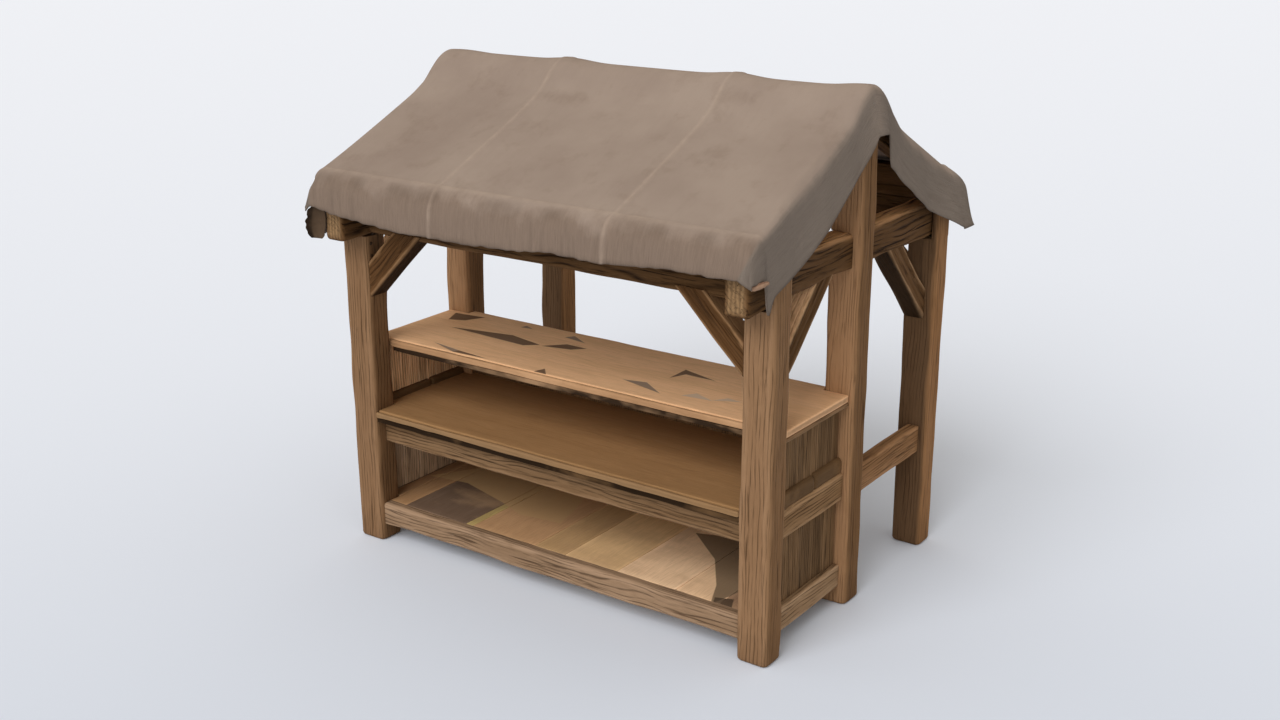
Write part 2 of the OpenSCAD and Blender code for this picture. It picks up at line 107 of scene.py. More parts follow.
def timber_stations(length, ends, step, notches):
    """The places along a timber where its section stands, and how far the section closes in there. The
    places are even steps, four on each rounded end, and a lip before and after a notch's shoulders. The
    section closes in by a quarter round at both ends."""
    quarter = 1 - np.cos(np.radians([0, 30, 60, 90]))
    lip = 0.0005
    stations = [ends[0] * quarter, length - ends[1] * quarter,
                np.linspace(ends[0], length - ends[1], max(int(length / step), 3))]
    for begin, until, side, deep in notches:
        shoulders = np.array([begin - lip, begin + lip, until - lip, until + lip])
        stations.append(shoulders[(shoulders > ends[0]) & (shoulders < length - ends[1])])
    x = np.unique(np.round(np.concatenate(stations), 6))
    to_start = np.clip(1 - x / ends[0], 0, 1)
    to_end = np.clip(1 - (length - x) / ends[1], 0, 1)
    return x, ends[0] * (1 - np.sqrt(1 - to_start ** 2)) + ends[1] * (1 - np.sqrt(1 - to_end ** 2))


def arris_rounds(x, inset, sides, arris, seed):
    """Quarter rounds at the four corners of each section, with the headings of their points. The radius
    wanders along the timber by smooth noise, and takes no more than a share of the section."""
    most = 0.42 * np.minimum(sides["+y"] - sides["-y"], sides["+z"] - sides["-z"])
    turn = np.radians(np.linspace(0, 90, 5))
    rounds, headings = [], []
    for i, (sy, sz) in enumerate([("+y", "+z"), ("-y", "+z"), ("-y", "-z"), ("+y", "-z")]):
        wander = smooth_noise(np.stack([x, 0 * x + i, 0 * x], axis=-1), (0.17, 1.0, 1.0), seed + 11)
        radius = np.clip(arris * (1 + 0.55 * wander) - 0.6 * inset, 0.002, most)[:, None]
        heading = turn + i * np.pi / 2
        centre_y = sides[sy][:, None] - np.sign(np.cos(heading[2])) * radius
        centre_z = sides[sz][:, None] - np.sign(np.sin(heading[2])) * radius
        rounds.append(np.stack([centre_y + radius * np.cos(heading),
                                centre_z + radius * np.sin(heading)], axis=-1))
        headings.append(heading)
    return rounds, headings


def smaller_rings(ring, shares):
    """Copies of a ring of points, drawn in towards its middle to the given shares."""
    middle = ring.mean(axis=0)
    return middle + (ring - middle) * np.array(shares)[:, None, None]


def squared_timber(length, width, depth, seed, arris=0.016, ends=(0.008, 0.008), hewing=0.004,
                   skew=(0.0, 0.0), notches=(), flutes=(), rubbed=None, faces=None, tone=(1.0, 1.0, 1.0),
                   step=0.022, facet=0.02, hollow=0.0):
    """A hewn timber along its own x axis from 0 to length, width across y and depth across z.

    The section is a rectangle with quarter rounds at its corners. It is carried along x, and two smaller
    rings and a middle point close the face at each end. A notch (from, to, side, deep) moves one side of
    the section inwards between two stations. Two layers of smooth noise pull the skin inwards by up to
    the hewing depth. A flute (middle, half width, deep) is a parabola cut along both z faces, and hollow
    is the height of a parabola by which the -y side rises towards the middle of the length.
    skew leans the end cuts: x grows by skew times y. The tone multiplies the wood's colour, and faces
    does so for single sides, such as "-y", to paint light or shade on them. The side given to take the
    worn colour counts as worn all over: painted light on the braces' upper sides and the king posts'
    fronts, and a flat ground under the painted shade of the rear posts' fronts.
    """
    x, inset = timber_stations(length, ends, step, notches)
    sides = {"-y": inset - width / 2 + hollow * (1 - (2 * x / length - 1) ** 2),
             "+y": width / 2 - inset, "-z": inset - depth / 2, "+z": depth / 2 - inset}
    for begin, until, side, deep in notches:
        inwards = 1 if side[0] == "-" else -1
        sides[side] = sides[side] + np.where((x > begin) & (x < until), deep, 0) * inwards

    rounds, headings = arris_rounds(x, inset, sides, arris, seed)
    round_share = np.linspace(0, 1, len(headings[0]))[:, None]
    rings, out, edge, shade = [], [], [], []
    order = ("+z", "-y", "-z", "+y")
    for i, flank in enumerate(order):
        across = (width, depth)[i % 2]
        share = np.linspace(0, 1, max(int(across / facet), 2) + 2)[1:-1, None]
        first, last = rounds[i][:, -1:], rounds[(i + 1) % 4][:, :1]
        rings += [rounds[i], first + (last - first) * share]
        out += [headings[i], np.full(len(share), (i + 1) * np.pi / 2)]
        nearest = np.minimum(share, 1 - share)[:, 0] * across
        edge += [np.ones(len(round_share)), np.where(flank == rubbed, 1.0, np.exp(-nearest / 0.012))]
        before, here = (np.ones(3) * (faces or {}).get(side, 1.0) for side in (order[i - 1], flank))
        shade += [before + (here - before) * round_share, np.tile(here, (len(share), 1))]
    ring = np.concatenate(rings, axis=1)
    out = np.concatenate(out)
    out = np.stack([np.cos(out), np.sin(out)], axis=-1)

    rows, columns = ring.shape[:2]
    points = np.concatenate([np.broadcast_to(x[:, None, None], (rows, columns, 1)), ring], axis=2)
    swell = 0.5 + 0.5 * smooth_noise(points + seed, (0.42, 0.13, 0.13), seed)
    chips = 0.5 + 0.5 * smooth_noise(points, (0.08, 0.06, 0.06), seed + 5)
    points[..., 1:] -= out * (hewing * (0.65 * swell + 0.35 * chips))[..., None]
    for middle, half, deep in flutes:
        cut = deep * np.clip(1 - ((points[..., 1] - middle) / half) ** 2, 0, 1)
        points[..., 2] -= np.round(out[:, 1]) * cut * (np.abs(out[:, 1]) > 0.9)

    points = np.concatenate([smaller_rings(points[0], (0.33, 0.7)), points,
                             smaller_rings(points[-1], (0.7, 0.33))])
    rows += 4
    poles = np.stack([points[0].mean(axis=0), points[-1].mean(axis=0)])
    grain = np.concatenate([points.reshape(-1, 3), poles])
    station = np.clip(grain[:, 0] / length, 0, 1)
    placed = grain.copy()
    placed[:, 0] += placed[:, 1] * (skew[0] * (1 - station) + skew[1] * station)

    cut_rings = [0, 1, 2, -3, -2, -1]
    on_end = np.zeros((rows, columns))
    on_end[cut_rings] = 1
    on_edge = np.tile(np.concatenate(edge), (rows, 1))
    on_edge[[2, 3, -4, -3]] = 1
    on_edge[[0, 1, -2, -1]] = 0
    by_side = np.tile(np.concatenate(shade), (rows, 1, 1))
    by_side[cut_rings] = 1
    pole, last_ring = rows * columns, (rows - 1) * columns
    return {"points": placed, "quads": grid_quads(rows, columns, closed=True),
            "fans": np.concatenate([pole_fan(pole, 0, columns, turned=True),
                                    pole_fan(pole + 1, last_ring, columns)]),
            "grain": grain + np.array([3.7, 0.53, 0.29]) * (seed % 97),
            "edge": np.append(on_edge.ravel(), [0, 0]), "end": np.append(on_end.ravel(), [1, 1]),
            "tone": np.concatenate([by_side.reshape(-1, 3), np.ones((2, 3))]) * tone}


def seated(timber, foot, along, across):
    """Turns and moves a timber: its x runs along, its y across, and its z completes the right hand."""
    ex = np.array(along) / np.linalg.norm(along)
    ey = np.array(across) / np.linalg.norm(across)
    axes = np.stack([ex, ey, np.cross(ex, ey)])
    return {**timber, "points": timber["points"] @ axes + np.array(foot)}


def node_timber(low, high, axis, seed, grow=0.0, notches=(), **shape):
    """A timber that fills the box from low to high along x, y or z (0, 1 or 2), grown at both ends.

    The section's y and z are the next two axes in turn. A notch here is (from, to, axis, sign, deep),
    with from and to as places in the box's own frame.
    """
    low, high = np.array(low, float), np.array(high, float)
    side, rise = (axis + 1) % 3, (axis + 2) % 3
    foot = (low + high) / 2
    foot[axis] = low[axis] - grow
    cuts = [(begin - foot[axis], until - foot[axis], "-+"[sign > 0] + "yz"[facing == rise], deep)
            for begin, until, facing, sign, deep in notches]
    bar = squared_timber(high[axis] - low[axis] + 2 * grow, high[side] - low[side],
                         high[rise] - low[rise], seed, notches=cuts, **shape)
    return seated(bar, foot, np.eye(3)[axis], np.eye(3)[side])


def new_piece(name, points, faces, material, slot, **carried):
    """A smooth mesh that rides the root; each carried array of numbers or vectors is an attribute."""
    mesh = bpy.data.meshes.new(name)
    mesh.from_pydata(points.reshape(-1, 3).tolist(), [], faces)
    mesh.polygons.foreach_set("use_smooth", np.ones(len(faces), bool))
    for label, values in carried.items():
        kind, field = ("FLOAT_VECTOR", "vector") if values.shape[-1] == 3 else ("FLOAT", "value")
        attribute_data = mesh.attributes.new(label, kind, "POINT").data
        attribute_data.foreach_set(field, values.astype(np.float32).ravel())
    mesh.materials.append(material)
    piece = bpy.data.objects.new(name, mesh)
    bpy.context.scene.collection.objects.link(piece)
    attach(piece, "root")
    return piece


def make_piece(name, parts, material, slot, *nodes):
    """Joins timbers into one piece that stands for CAD nodes; grain, tone, edge and end go along."""
    starts = np.cumsum([0] + [len(part["points"]) for part in parts])
    faces = []
    for start, part in zip(starts, parts):
        faces += (part["quads"] + start).tolist() + (part["fans"] + start).tolist()
    joined = {label: np.concatenate([part[label] for part in parts])
              for label in ("points", "grain", "tone", "edge", "end")}
    piece = new_piece(name, faces=faces, material=material, slot=slot, **joined)
    piece.data.set_sharp_from_angle(angle=math.radians(48))
    if nodes:
        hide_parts(*nodes)


def hewn_piece(node, axis, seed, material, slot, belly=0.0, **shape):
    """One timber that fills its node's box, and is fuller by the belly on the underside."""
    low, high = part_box(node)
    timber = node_timber((low.x, low.y, low.z - belly), high, axis, seed, **shape)
    make_piece(f"hewn_{node}", [timber], material, slot, node)


def feed(tree, node, inputs):
    """Gives a node its inputs: each is a number, a colour, or the socket that feeds it."""
    for key, value in inputs.items():
        if isinstance(value, bpy.types.NodeSocket):
            tree.links.new(value, node.inputs[key])
        elif node.inputs[key].type == "RGBA":
            node.inputs[key].default_value = (*value, 1)
        else:
            node.inputs[key].default_value = value
    return node.outputs


def add(tree, kind, inputs=None, output=0, **settings):
    """Adds a shader node with its settings and inputs, and gives one of its outputs."""
    node = tree.nodes.new("ShaderNode" + kind)
    for key, value in settings.items():
        setattr(node, key, value)
    return feed(tree, node, inputs or {})[output]


def arithmetic(operation):
    """Makes a function that adds a node, which puts two numbers together by one operation."""
    return lambda tree, first, second: add(tree, "Math", {0: first, 1: second}, operation=operation)


times, plus, minus = arithmetic("MULTIPLY"), arithmetic("ADD"), arithmetic("SUBTRACT")
larger, smaller = arithmetic("MAXIMUM"), arithmetic("MINIMUM")


def vectors(tree, operation, first, second=(0.0, 0.0, 0.0)):
    """Two vectors put together by one operation; a dot product gives a number."""
    output = 1 if operation == "DOT_PRODUCT" else 0
    return add(tree, "VectorMath", {0: first, 1: second}, output, operation=operation)


def blend(tree, share, first, second, mode="MIX"):
    """The first colour and the second, mixed by share."""
    return add(tree, "Mix", {0: share, 6: first, 7: second}, 2, data_type="RGBA", blend_type=mode)


def between(tree, value, low, high, to_low=0.0, to_high=1.0):
    """Value taken from the range low to high into the range to_low to to_high, and held there."""
    return add(tree, "MapRange", {0: value, 1: low, 2: high, 3: to_low, 4: to_high})


def stretched_noise(tree, vector, stretch, detail, roughness=0.55):
    """Noise on a vector that is first stretched along each axis."""
    scaled = vectors(tree, "MULTIPLY", vector, stretch)
    return add(tree, "TexNoise", {"Vector": scaled, "Scale": 1.0, "Detail": detail, "Roughness": roughness})


def attribute(tree, name, output="Fac"):
    """A value that the mesh carries along on its points."""
    return add(tree, "Attribute", output=output, attribute_name=name)


def new_group(name, inputs, outputs):
    """An empty shader group with its named sockets, what it is given, and the node that takes its results."""
    tree = bpy.data.node_groups.new(name, "ShaderNodeTree")
    for way, sockets in (("INPUT", inputs), ("OUTPUT", outputs)):
        for label, kind in sockets.items():
            tree.interface.new_socket(label, in_out=way, socket_type="NodeSocket" + kind)
    return tree, tree.nodes.new("NodeGroupInput").outputs, tree.nodes.new("NodeGroupOutput")


def use_group(tree, group, inputs):
    """Places a group in a material with its own values, and gives its outputs by name."""
    node = tree.nodes.new("ShaderNodeGroup")
    node.node_tree = group
    return feed(tree, node, inputs)


def make_hewn_grain():
    """Grain along a timber: a broad figure between two browns, and growth lines where the place across
    the timber, counted in lines per metre and made to waver by noise, passes a whole number. Patches of
    noise break the lines up, fine fibres lie between them, and cells of flat tone stand for the axe's
    facets. Wavy bands of growth mark the cut ends."""
    tree, given, put = new_group("hewn_grain", {
        "Grain": "Vector", "End": "Float", "Pale": "Color", "Deep": "Color", "Streak": "Color",
        "End colour": "Color", "Lines": "Float", "Waver": "Float", "Width": "Float", "Streaking": "Float",
        "Facets": "Float"}, {"Colour": "Color", "Height": "Float", "Figure": "Float"})
    wide = vectors(tree, "MULTIPLY", given["Grain"], (2.2, 6.0, 6.0))
    bend = add(tree, "TexNoise", {"Vector": wide, "Scale": 1.0}, output=1)
    grain = vectors(tree, "ADD", given["Grain"], vectors(tree, "MULTIPLY", bend, (0.0, 0.03, 0.03)))
    figure = between(tree, stretched_noise(tree, grain, (1.3, 11.0, 11.0), 4.0, 0.6), 0.33, 0.67)
    across = vectors(tree, "DOT_PRODUCT", grain, (0.0, 1.0, 0.8))
    waver = times(tree, stretched_noise(tree, grain, (1.6, 8.0, 8.0), 2.0, 0.45), given["Waver"])
    growth = plus(tree, times(tree, across, given["Lines"]), waver)
    line = between(tree, arithmetic("PINGPONG")(tree, growth, 0.5), 0.0, given["Width"], 1.0, 0.0)
    breaks = between(tree, stretched_noise(tree, grain, (4.0, 34.0, 34.0), 3.0), 0.4, 0.58, 0.12, 1.0)
    split = between(tree, stretched_noise(tree, grain, (2.6, 75.0, 75.0), 3.0), 0.6, 0.7)
    fibre = stretched_noise(tree, grain, (12.0, 330.0, 330.0), 2.0)
    dark = times(tree, larger(tree, times(tree, line, breaks), split), given["Streaking"])
    colour = blend(tree, figure, given["Pale"], given["Deep"])
    blows = vectors(tree, "MULTIPLY", grain, (13.0, 17.0, 17.0))
    cells = add(tree, "TexVoronoi", {"Vector": blows, "Scale": 1.0}, output=1)
    facet = times(tree, add(tree, "SeparateXYZ", {0: cells}), given["Facets"])
    colour = blend(tree, facet, colour, given["Deep"])
    colour = blend(tree, dark, colour, given["Streak"])
    colour = blend(tree, between(tree, fibre, 0.4, 0.75, 0.0, 0.3), colour, given["Streak"])
    bands = add(tree, "TexWave", {"Vector": given["Grain"], "Scale": 16.0, "Distortion": 3.0, "Detail": 3.0,
                                  "Detail Scale": 2.0}, output=1, bands_direction="Z")
    cut = blend(tree, times(tree, bands, 0.4), given["End colour"], given["Streak"])
    height = plus(tree, minus(tree, times(tree, figure, 0.3), dark), times(tree, fibre, 0.25))
    feed(tree, put, {"Colour": blend(tree, given["End"], colour, cut), "Height": height, "Figure": figure})
    return tree


def make_arris_wear():
    """Wear along the arrises: the edge value, broken up by noise along the grain."""
    tree, given, put = new_group("arris_wear", {"Grain": "Vector", "Edge": "Float", "Amount": "Float"},
                                 {"Mask": "Float"})
    patches = stretched_noise(tree, given["Grain"], (7.0, 26.0, 26.0), 3.0)
    worn = between(tree, plus(tree, times(tree, given["Edge"], 0.5), patches), 0.72, 1.02)
    feed(tree, put, {"Mask": times(tree, worn, given["Amount"])})
    return tree


hewn_grain = make_hewn_grain()
arris_wear = make_arris_wear()


def grained_oak(name, pale, deep, streak, end, worn, lines=58.0, waver=3.5, width=0.15, streaking=0.85,
                facets=0.0, wear=0.6):
    """A new material with grain between pale and deep, dark growth lines and worn arrises, times the tone
    that a timber carries. Gives its nodes, the grain's outputs and the colour so far."""
    material = bpy.data.materials.new(name)
    material.use_nodes = True
    tree = material.node_tree
    grain = attribute(tree, "grain", "Vector")
    wood = use_group(tree, hewn_grain, {
        "Grain": grain, "End": attribute(tree, "end"), "Pale": pale, "Deep": deep, "Streak": streak,
        "End colour": end, "Lines": lines, "Waver": waver, "Width": width, "Streaking": streaking,
        "Facets": facets})
    rub = use_group(tree, arris_wear, {"Grain": grain, "Edge": attribute(tree, "edge"), "Amount": wear})
    colour = blend(tree, rub["Mask"], wood["Colour"], worn)
    return material, wood, blend(tree, 1.0, colour, attribute(tree, "tone", "Color"), "MULTIPLY")


def finished(material, colour, roughness, height, depth):
    """Feeds the material's shader: colour, roughness, and a bump of the given depth in metres."""
    tree = material.node_tree
    bump = add(tree, "Bump", {"Height": height, "Strength": 1.0, "Distance": depth})
    feed(tree, tree.nodes["Principled BSDF"], {"Base Color": colour, "Roughness": roughness,
                                               "Specular IOR Level": 0.05, "Normal": bump})
    return material


def oak(name, pale, deep, streak, end, worn, grime=0.0, depth=0.003, **grain):
    """Hewn oak: the grain, and soil that fades with the height above the ground, made patchy by noise."""
    material, wood, colour = grained_oak(name, pale, deep, streak, end, worn, **grain)
    tree = material.node_tree
    if grime:
        place = add(tree, "TexCoord", output="Object")
        rise = add(tree, "SeparateXYZ", {0: place}, output=2)
        patches = times(tree, stretched_noise(tree, place, (9.0, 9.0, 4.0), 4.0), 0.3)
        colour = blend(tree, between(tree, plus(tree, rise, patches), 0.12, 0.32, grime, 0.0), colour, streak)
    roughness = between(tree, wood["Figure"], 0.0, 1.0, 0.62, 0.82)
    return finished(material, colour, roughness, wood["Height"], depth)


post_oak = oak("post_oak", pale=(0.3, 0.173, 0.091), deep=(0.247, 0.138, 0.07), streak=(0.08, 0.041, 0.018),
               end=(0.25, 0.142, 0.072), worn=(0.31, 0.182, 0.098), grime=0.25, facets=0.45)
tie_low, tie_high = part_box("right_tie_beam")
tie_width = tie_high.x - tie_low.x
tie_belly = 0.038
tie_hollow = 0.026
# Painted light and shade by side: "-z" is a post's front and "+y" its right side; the worn side takes the
# worn colour all over.
post_painted_light_and_tone = {
    "front": {"faces": {"+y": (0.85, 0.81, 0.73)}},
    "front_left_post": {"faces": {"+y": (0.85, 0.81, 0.73)}, "tone": (0.89, 0.88, 0.87)},
    "rear": {"rubbed": "-z", "faces": {"-z": 0.5, "+y": (1.16, 1.05, 0.88)}, "tone": (0.95, 0.92, 0.88)},
    "king": {"rubbed": "-z", "faces": {"-z": 1.55, "+y": (0.77, 0.73, 0.64)}, "tone": (0.93, 0.9, 0.86)},
}
side_signs = {"left": -1, "right": 1}
for side, sign in side_signs.items():
    head = [(tie_low.z - tie_belly, tie_high.z + 1, 0, -sign, tie_width)]
    for row, seed in (("front", 1), ("rear", 5)):
        node = f"{row}_{side}_post"
        hewn_piece(node, 2, seed + sign, post_oak, "posts", notches=head, arris=0.02, ends=(0.016, 0.008),
                   **post_painted_light_and_tone.get(node, post_painted_light_and_tone[row]))
    halving = [(tie_low.z - tie_belly + tie_hollow, tie_high.z, 0, -sign, tie_width / 2)]
    hewn_piece(f"king_{side}_post", 2, 20 + sign, post_oak, "posts", notches=halving, arris=0.02,
               ends=(0.016, 0.006), **post_painted_light_and_tone["king"])


# Pegs
# Short oak pegs hold the plates' tenons: their dark heads stand a little proud of the inner faces of
# the corner posts, two below each plate.
peg_round = 0.009
peg_proud = 0.003
peg_neck = 0.006
peg_inset = 0.034
peg_drops = (0.075, 0.135)


def peg(middle, outward, seed):
    """A peg's head: a domed cap, its height a cosine of the share of the way out from the middle, with a
    short neck sunk into the post."""
    outward = np.array(outward, float)
    share = np.append(np.linspace(0.12, 1, 8), 1.0)
    rise = np.append(peg_proud * np.cos(share[:-1] * np.pi / 2), -peg_neck)
    turn = np.linspace(0, 2 * np.pi, 17)[:-1]
    ex = np.array([0.0, 0.0, 1.0])
    ey = np.cross(outward, ex)
    wobble = 1 + 0.08 * np.sin(3 * turn + seed)
    ring = (np.cos(turn)[:, None] * ex + np.sin(turn)[:, None] * ey) * wobble[:, None]
    caps = middle + peg_round * share[:, None, None] * ring + rise[:, None, None] * outward
    rows, columns = caps.shape[:2]
    points = np.concatenate([caps.reshape(-1, 3), [middle + peg_proud * outward]])
    count = len(points)
    return {"points": points, "quads": grid_quads(rows, columns, closed=True, turned=True),
            "fans": pole_fan(rows * columns, 0, columns), "grain": points * 3 + seed,
            "edge": np.zeros(count), "end": np.ones(count), "tone": np.ones((count, 3))}


peg_oak = oak("peg_oak", pale=(0.09, 0.05, 0.026), deep=(0.06, 0.033, 0.018), streak=(0.02, 0.011, 0.006),
              end=(0.075, 0.042, 0.022), worn=(0.12, 0.07, 0.036), streaking=0.5, wear=0.2, depth=0.001)
pegs = []
for row, towards in (("front", 1), ("rear", -1)):
    for side, sign in side_signs.items():
        low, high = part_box(f"{row}_{side}_post")
        near = low.y if towards > 0 else high.y
        face_x = low.x if sign > 0 else high.x
        for drop in peg_drops:
            middle = np.array([face_x + sign * 0.002, near + towards * peg_inset, tie_low.z - drop])
            pegs.append(peg(middle, (-sign, 0, 0), len(pegs)))
make_piece("oak_pegs", pegs, peg_oak, "posts")


# Tie beams and plates
# A tie beam lies along each side on the rebated post heads, half lapped with the king post, and its
# nose stands out over the front. A plate runs between the ties, front and rear. Dark weathered oak, left
# full on the underside, where the adze followed the log.
beam_oak = oak("beam_oak", pale=(0.132, 0.066, 0.026), deep=(0.09, 0.044, 0.016),
               streak=(0.014, 0.006, 0.003), end=(0.29, 0.175, 0.085), worn=(0.155, 0.08, 0.034), lines=34.0,
               waver=5.0, width=0.24, streaking=0.95, wear=0.5, depth=0.005)
seat = 0.004
plate_belly = 0.025
# Painted light: the tie beams' top sides are made six to eight times paler, as if lit under the canopy's
# shade.
painted_light_tie_top = {"+y": (6.0, 6.5, 7.6)}
king_low, king_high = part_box("king_right_post")
for side, sign in side_signs.items():
    halving = [(king_low.y, king_high.y, 0, sign, tie_width / 2)]
    hewn_piece(f"{side}_tie_beam", 1, 40 + sign, beam_oak, "beams", tie_belly, notches=halving, arris=0.02,
               ends=(0.018, 0.012), hollow=tie_hollow, faces=painted_light_tie_top)
for row, seed in (("front", 44), ("rear", 46)):
    hewn_piece(f"{row}_plate", 0, seed, beam_oak, "beams", plate_belly, grow=seat)


# Braces
# Short struts at 45 degrees stiffen the corners, from post to plate and from post to tie beam. Each is
# a sawn oak plank with two gouged flutes along both faces, cut to seat flat on post and beam.
brace_oak = oak("brace_oak", pale=(0.15, 0.076, 0.031), deep=(0.1, 0.05, 0.02), streak=(0.032, 0.015, 0.006),
                end=(0.2, 0.11, 0.05), worn=(0.34, 0.205, 0.108), lines=50.0, streaking=0.7, wear=0.8)
brace_width = 0.108
plate_brace_fuller = 0.036
tie_brace_fuller = 0.028
flute_half = 0.007
flute_deep = 0.007


def brace(node, across_post, seed, fuller, **looks):
    """A brace in its node's box: the timber runs at 45 degrees from the post up to the beam, and both
    ends are skewed by 45 degrees so that they lie flat on the post's face and the beam's underside.
    across_post is the direction from the post towards the middle, along x or y, and fuller is what the
    plank is thicker than its node."""
    low, high = (np.array(corner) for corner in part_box(node))
    across_post = np.array(across_post, float)
    run = np.abs(across_post) @ (high - low)
    thick = np.delete(high - low, [np.argmax(np.abs(across_post)), 2])[0]
    rise = np.array([0.0, 0.0, 1.0])
    length = math.sqrt(2) * run - brace_width
    along = (across_post + rise) / math.sqrt(2)
    over = (across_post - rise) / math.sqrt(2)
    post_face = (low + high) / 2 - across_post * run / 2
    post_face[2] = low[2]
    lower = post_face + along * (brace_width / 2 - seat) - over * brace_width / 2
    third = brace_width / 6
    flutes = [(-third, flute_half, flute_deep), (third, flute_half, flute_deep)]
    bar = squared_timber(length + 2 * seat, brace_width, thick + fuller, seed, arris=0.01, hewing=0.003,
                         ends=(0.003, 0.003), skew=(-1.0, 1.0), flutes=flutes, facet=0.004, **looks)
    make_piece(f"fluted_{node}", [seated(bar, lower, along, over)], brace_oak, "beams", node)


# The front left plank is left 2 cm wider all along its upper side, as a notch that is cut outwards
whole_upper_side = (-1, 9, "-y", -0.02)
# Painted shade on the braces' undersides; their upper sides take the worn colour all over as painted light,
# far paler still on the front tie braces.
shaded_under = {"+y": 0.3}
rubbed_top = {"rubbed": "-y", "faces": {"-y": (3.2, 3.3, 3.5)}}
for side, sign in side_signs.items():
    for row, seed in (("front", 60), ("rear", 63)):
        node = f"{row}_{side}_brace"
        left_wide = [whole_upper_side] if node == "front_left_brace" else []
        brace(node, (-sign, 0, 0), seed + sign, plate_brace_fuller, notches=left_wide, rubbed="-y",
              faces=shaded_under, tone=(0.92, 0.85, 0.77))
    for row, towards, looks in (("front", 1, rubbed_top), ("rear", -1, {"faces": shaded_under})):
        brace(f"{side}_{row}_tie_brace", (0, towards, 0), 70 + 2 * sign + towards, tie_brace_fuller, **looks)


# Roof timbers
# A ridge beam on the king posts, an eave beam on the ties at front and rear, and four pairs of rafters
# that butt the ridge and stand in housings in the eave beams. Sawn oak, planed where the cloth lies.
for node, seed in (("ridge_beam", 80), ("front_eave_beam", 81), ("rear_eave_beam", 82)):
    hewn_piece(node, 0, seed, beam_oak, "beams", arris=0.018, hewing=0.003)

ridge_low, ridge_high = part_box("ridge_beam")
front_low, front_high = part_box("front_eave_beam")
ridge_y = (ridge_low.y + ridge_high.y) / 2
ridge_half = (ridge_high.y - ridge_low.y) / 2
eave_top = front_high.z
front_run = ridge_y - front_low.y
rear_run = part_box("rear_eave_beam")[1].y - ridge_y
rafter_depth = 0.095
rafter_setback = 0.02
shoulder_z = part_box("left_gable_rafters")[1].z
front_pitch = (shoulder_z - eave_top) / (front_run - ridge_half)
rafter_crown = shoulder_z + front_pitch * ridge_half
rear_pitch = (rafter_crown - eave_top) / rear_run


def rafter(low, high, towards, pitch, run, seed):
    """A rafter from its housing up to the ridge beam's side: it follows the roof line rafter_crown minus
    pitch times the distance from the ridge, with plumb cuts at both ends."""
    foot_run = run - rafter_setback
    level = foot_run - ridge_half
    lean = math.atan(pitch)
    top = np.array([(low.x + high.x) / 2, ridge_y + towards * foot_run, rafter_crown - pitch * foot_run])
    along = np.array([0.0, -towards * math.cos(lean), math.sin(lean)])
    over = np.array([0.0, towards * math.sin(lean), math.cos(lean)])
    foot = top - over * rafter_depth / 2 - along * (math.tan(lean) * rafter_depth / 2)
    length = level / math.cos(lean) + seat
    bar = squared_timber(length, rafter_depth, high.x - low.x, seed, arris=0.008, ends=(0.003, 0.003),
                         hewing=0.003, skew=(math.tan(lean), math.tan(lean)))
    return seated(bar, foot, along, over)


for i, name in enumerate(("left_gable", "left_inner", "right_inner", "right_gable")):
    node = f"{name}_rafters"
    low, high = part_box(node)
    pair = [rafter(low, high, -1, front_pitch, front_run, 90 + i),
            rafter(low, high, 1, rear_pitch, rear_run, 95 + i)]
    make_piece(f"sawn_{node}", pair, beam_oak, "beams", node)


# Rails
# Rails are tenoned between the posts: bottom and middle rails round the counter bay, and one rail on
# each side of the rear bay. The front bottom rail is scrubbed pale, the others are darker.
rail_grain = {"lines": 66.0, "waver": 4.5, "width": 0.19, "streaking": 0.88, "depth": 0.004}
rail_oak = oak("rail_oak", pale=(0.24, 0.141, 0.071), deep=(0.168, 0.094, 0.045), streak=(0.05, 0.026, 0.012),
               end=(0.24, 0.15, 0.08), worn=(0.286, 0.172, 0.092), **rail_grain)
scrubbed_oak = oak("scrubbed_oak", pale=(0.335, 0.216, 0.132), deep=(0.25, 0.156, 0.09),
                   streak=(0.08, 0.045, 0.025), end=(0.3, 0.2, 0.12), worn=(0.375, 0.245, 0.155),
                   **rail_grain)
plain_tone = (1.0, 1.0, 1.0)
side_tones = {"bottom": (1.72, 1.86, 2.05), "middle": (1.45, 1.45, 1.4), "rear": (1.45, 1.3, 1.17)}
rails = [(f"{side}_{level}_rail", 1, side_tones[level]) for side in side_signs for level in side_tones]
rails += [(f"{row}_{level}_rail", 0, plain_tone)
          for row in ("front", "back") for level in ("bottom", "middle")]
for i, (node, axis, tone) in enumerate(rails):
    rail_wood = scrubbed_oak if node == "front_bottom_rail" else rail_oak
    hewn_piece(node, axis, 110 + i, rail_wood, "beams", grow=seat, tone=tone)


# Counter and shelves
# A counter top on bearers behind the front posts, a middle shelf that runs out to the post fronts, with a
# rounded sill in two lengths at each end, and a bottom shelf of short boards let into the rails. Planed
# oak with worn nosings and splits in the counter; near-black battens under the nosings are painted shade,
# the counter's pale top is partly painted light, and the bottom shelf carries painted light and shadows.
def make_three_corner_mask():
    """A three-cornered patch on a board, for a split or a painted shadow: inside where the place lies left of
    all three edges, each edge being the sideways distance from the line between two corners."""
    tree, given, put = new_group("three_corner_mask", {label: "Vector" for label in ("Place", "A", "B", "C")},
                                 {"Mask": "Float"})
    distances = []
    for first, second in (("A", "B"), ("B", "C"), ("C", "A")):
        edge = vectors(tree, "SUBTRACT", given[second], given[first])
        square = vectors(tree, "NORMALIZE", vectors(tree, "CROSS_PRODUCT", (0.0, 0.0, 1.0), edge))
        offset = vectors(tree, "SUBTRACT", given["Place"], given[first])
        distances.append(vectors(tree, "DOT_PRODUCT", square, offset))
    inside = smaller(tree, smaller(tree, distances[0], distances[1]), distances[2])
    feed(tree, put, {"Mask": between(tree, inside, -0.002, 0.002)})
    return tree


three_corner_mask = make_three_corner_mask()


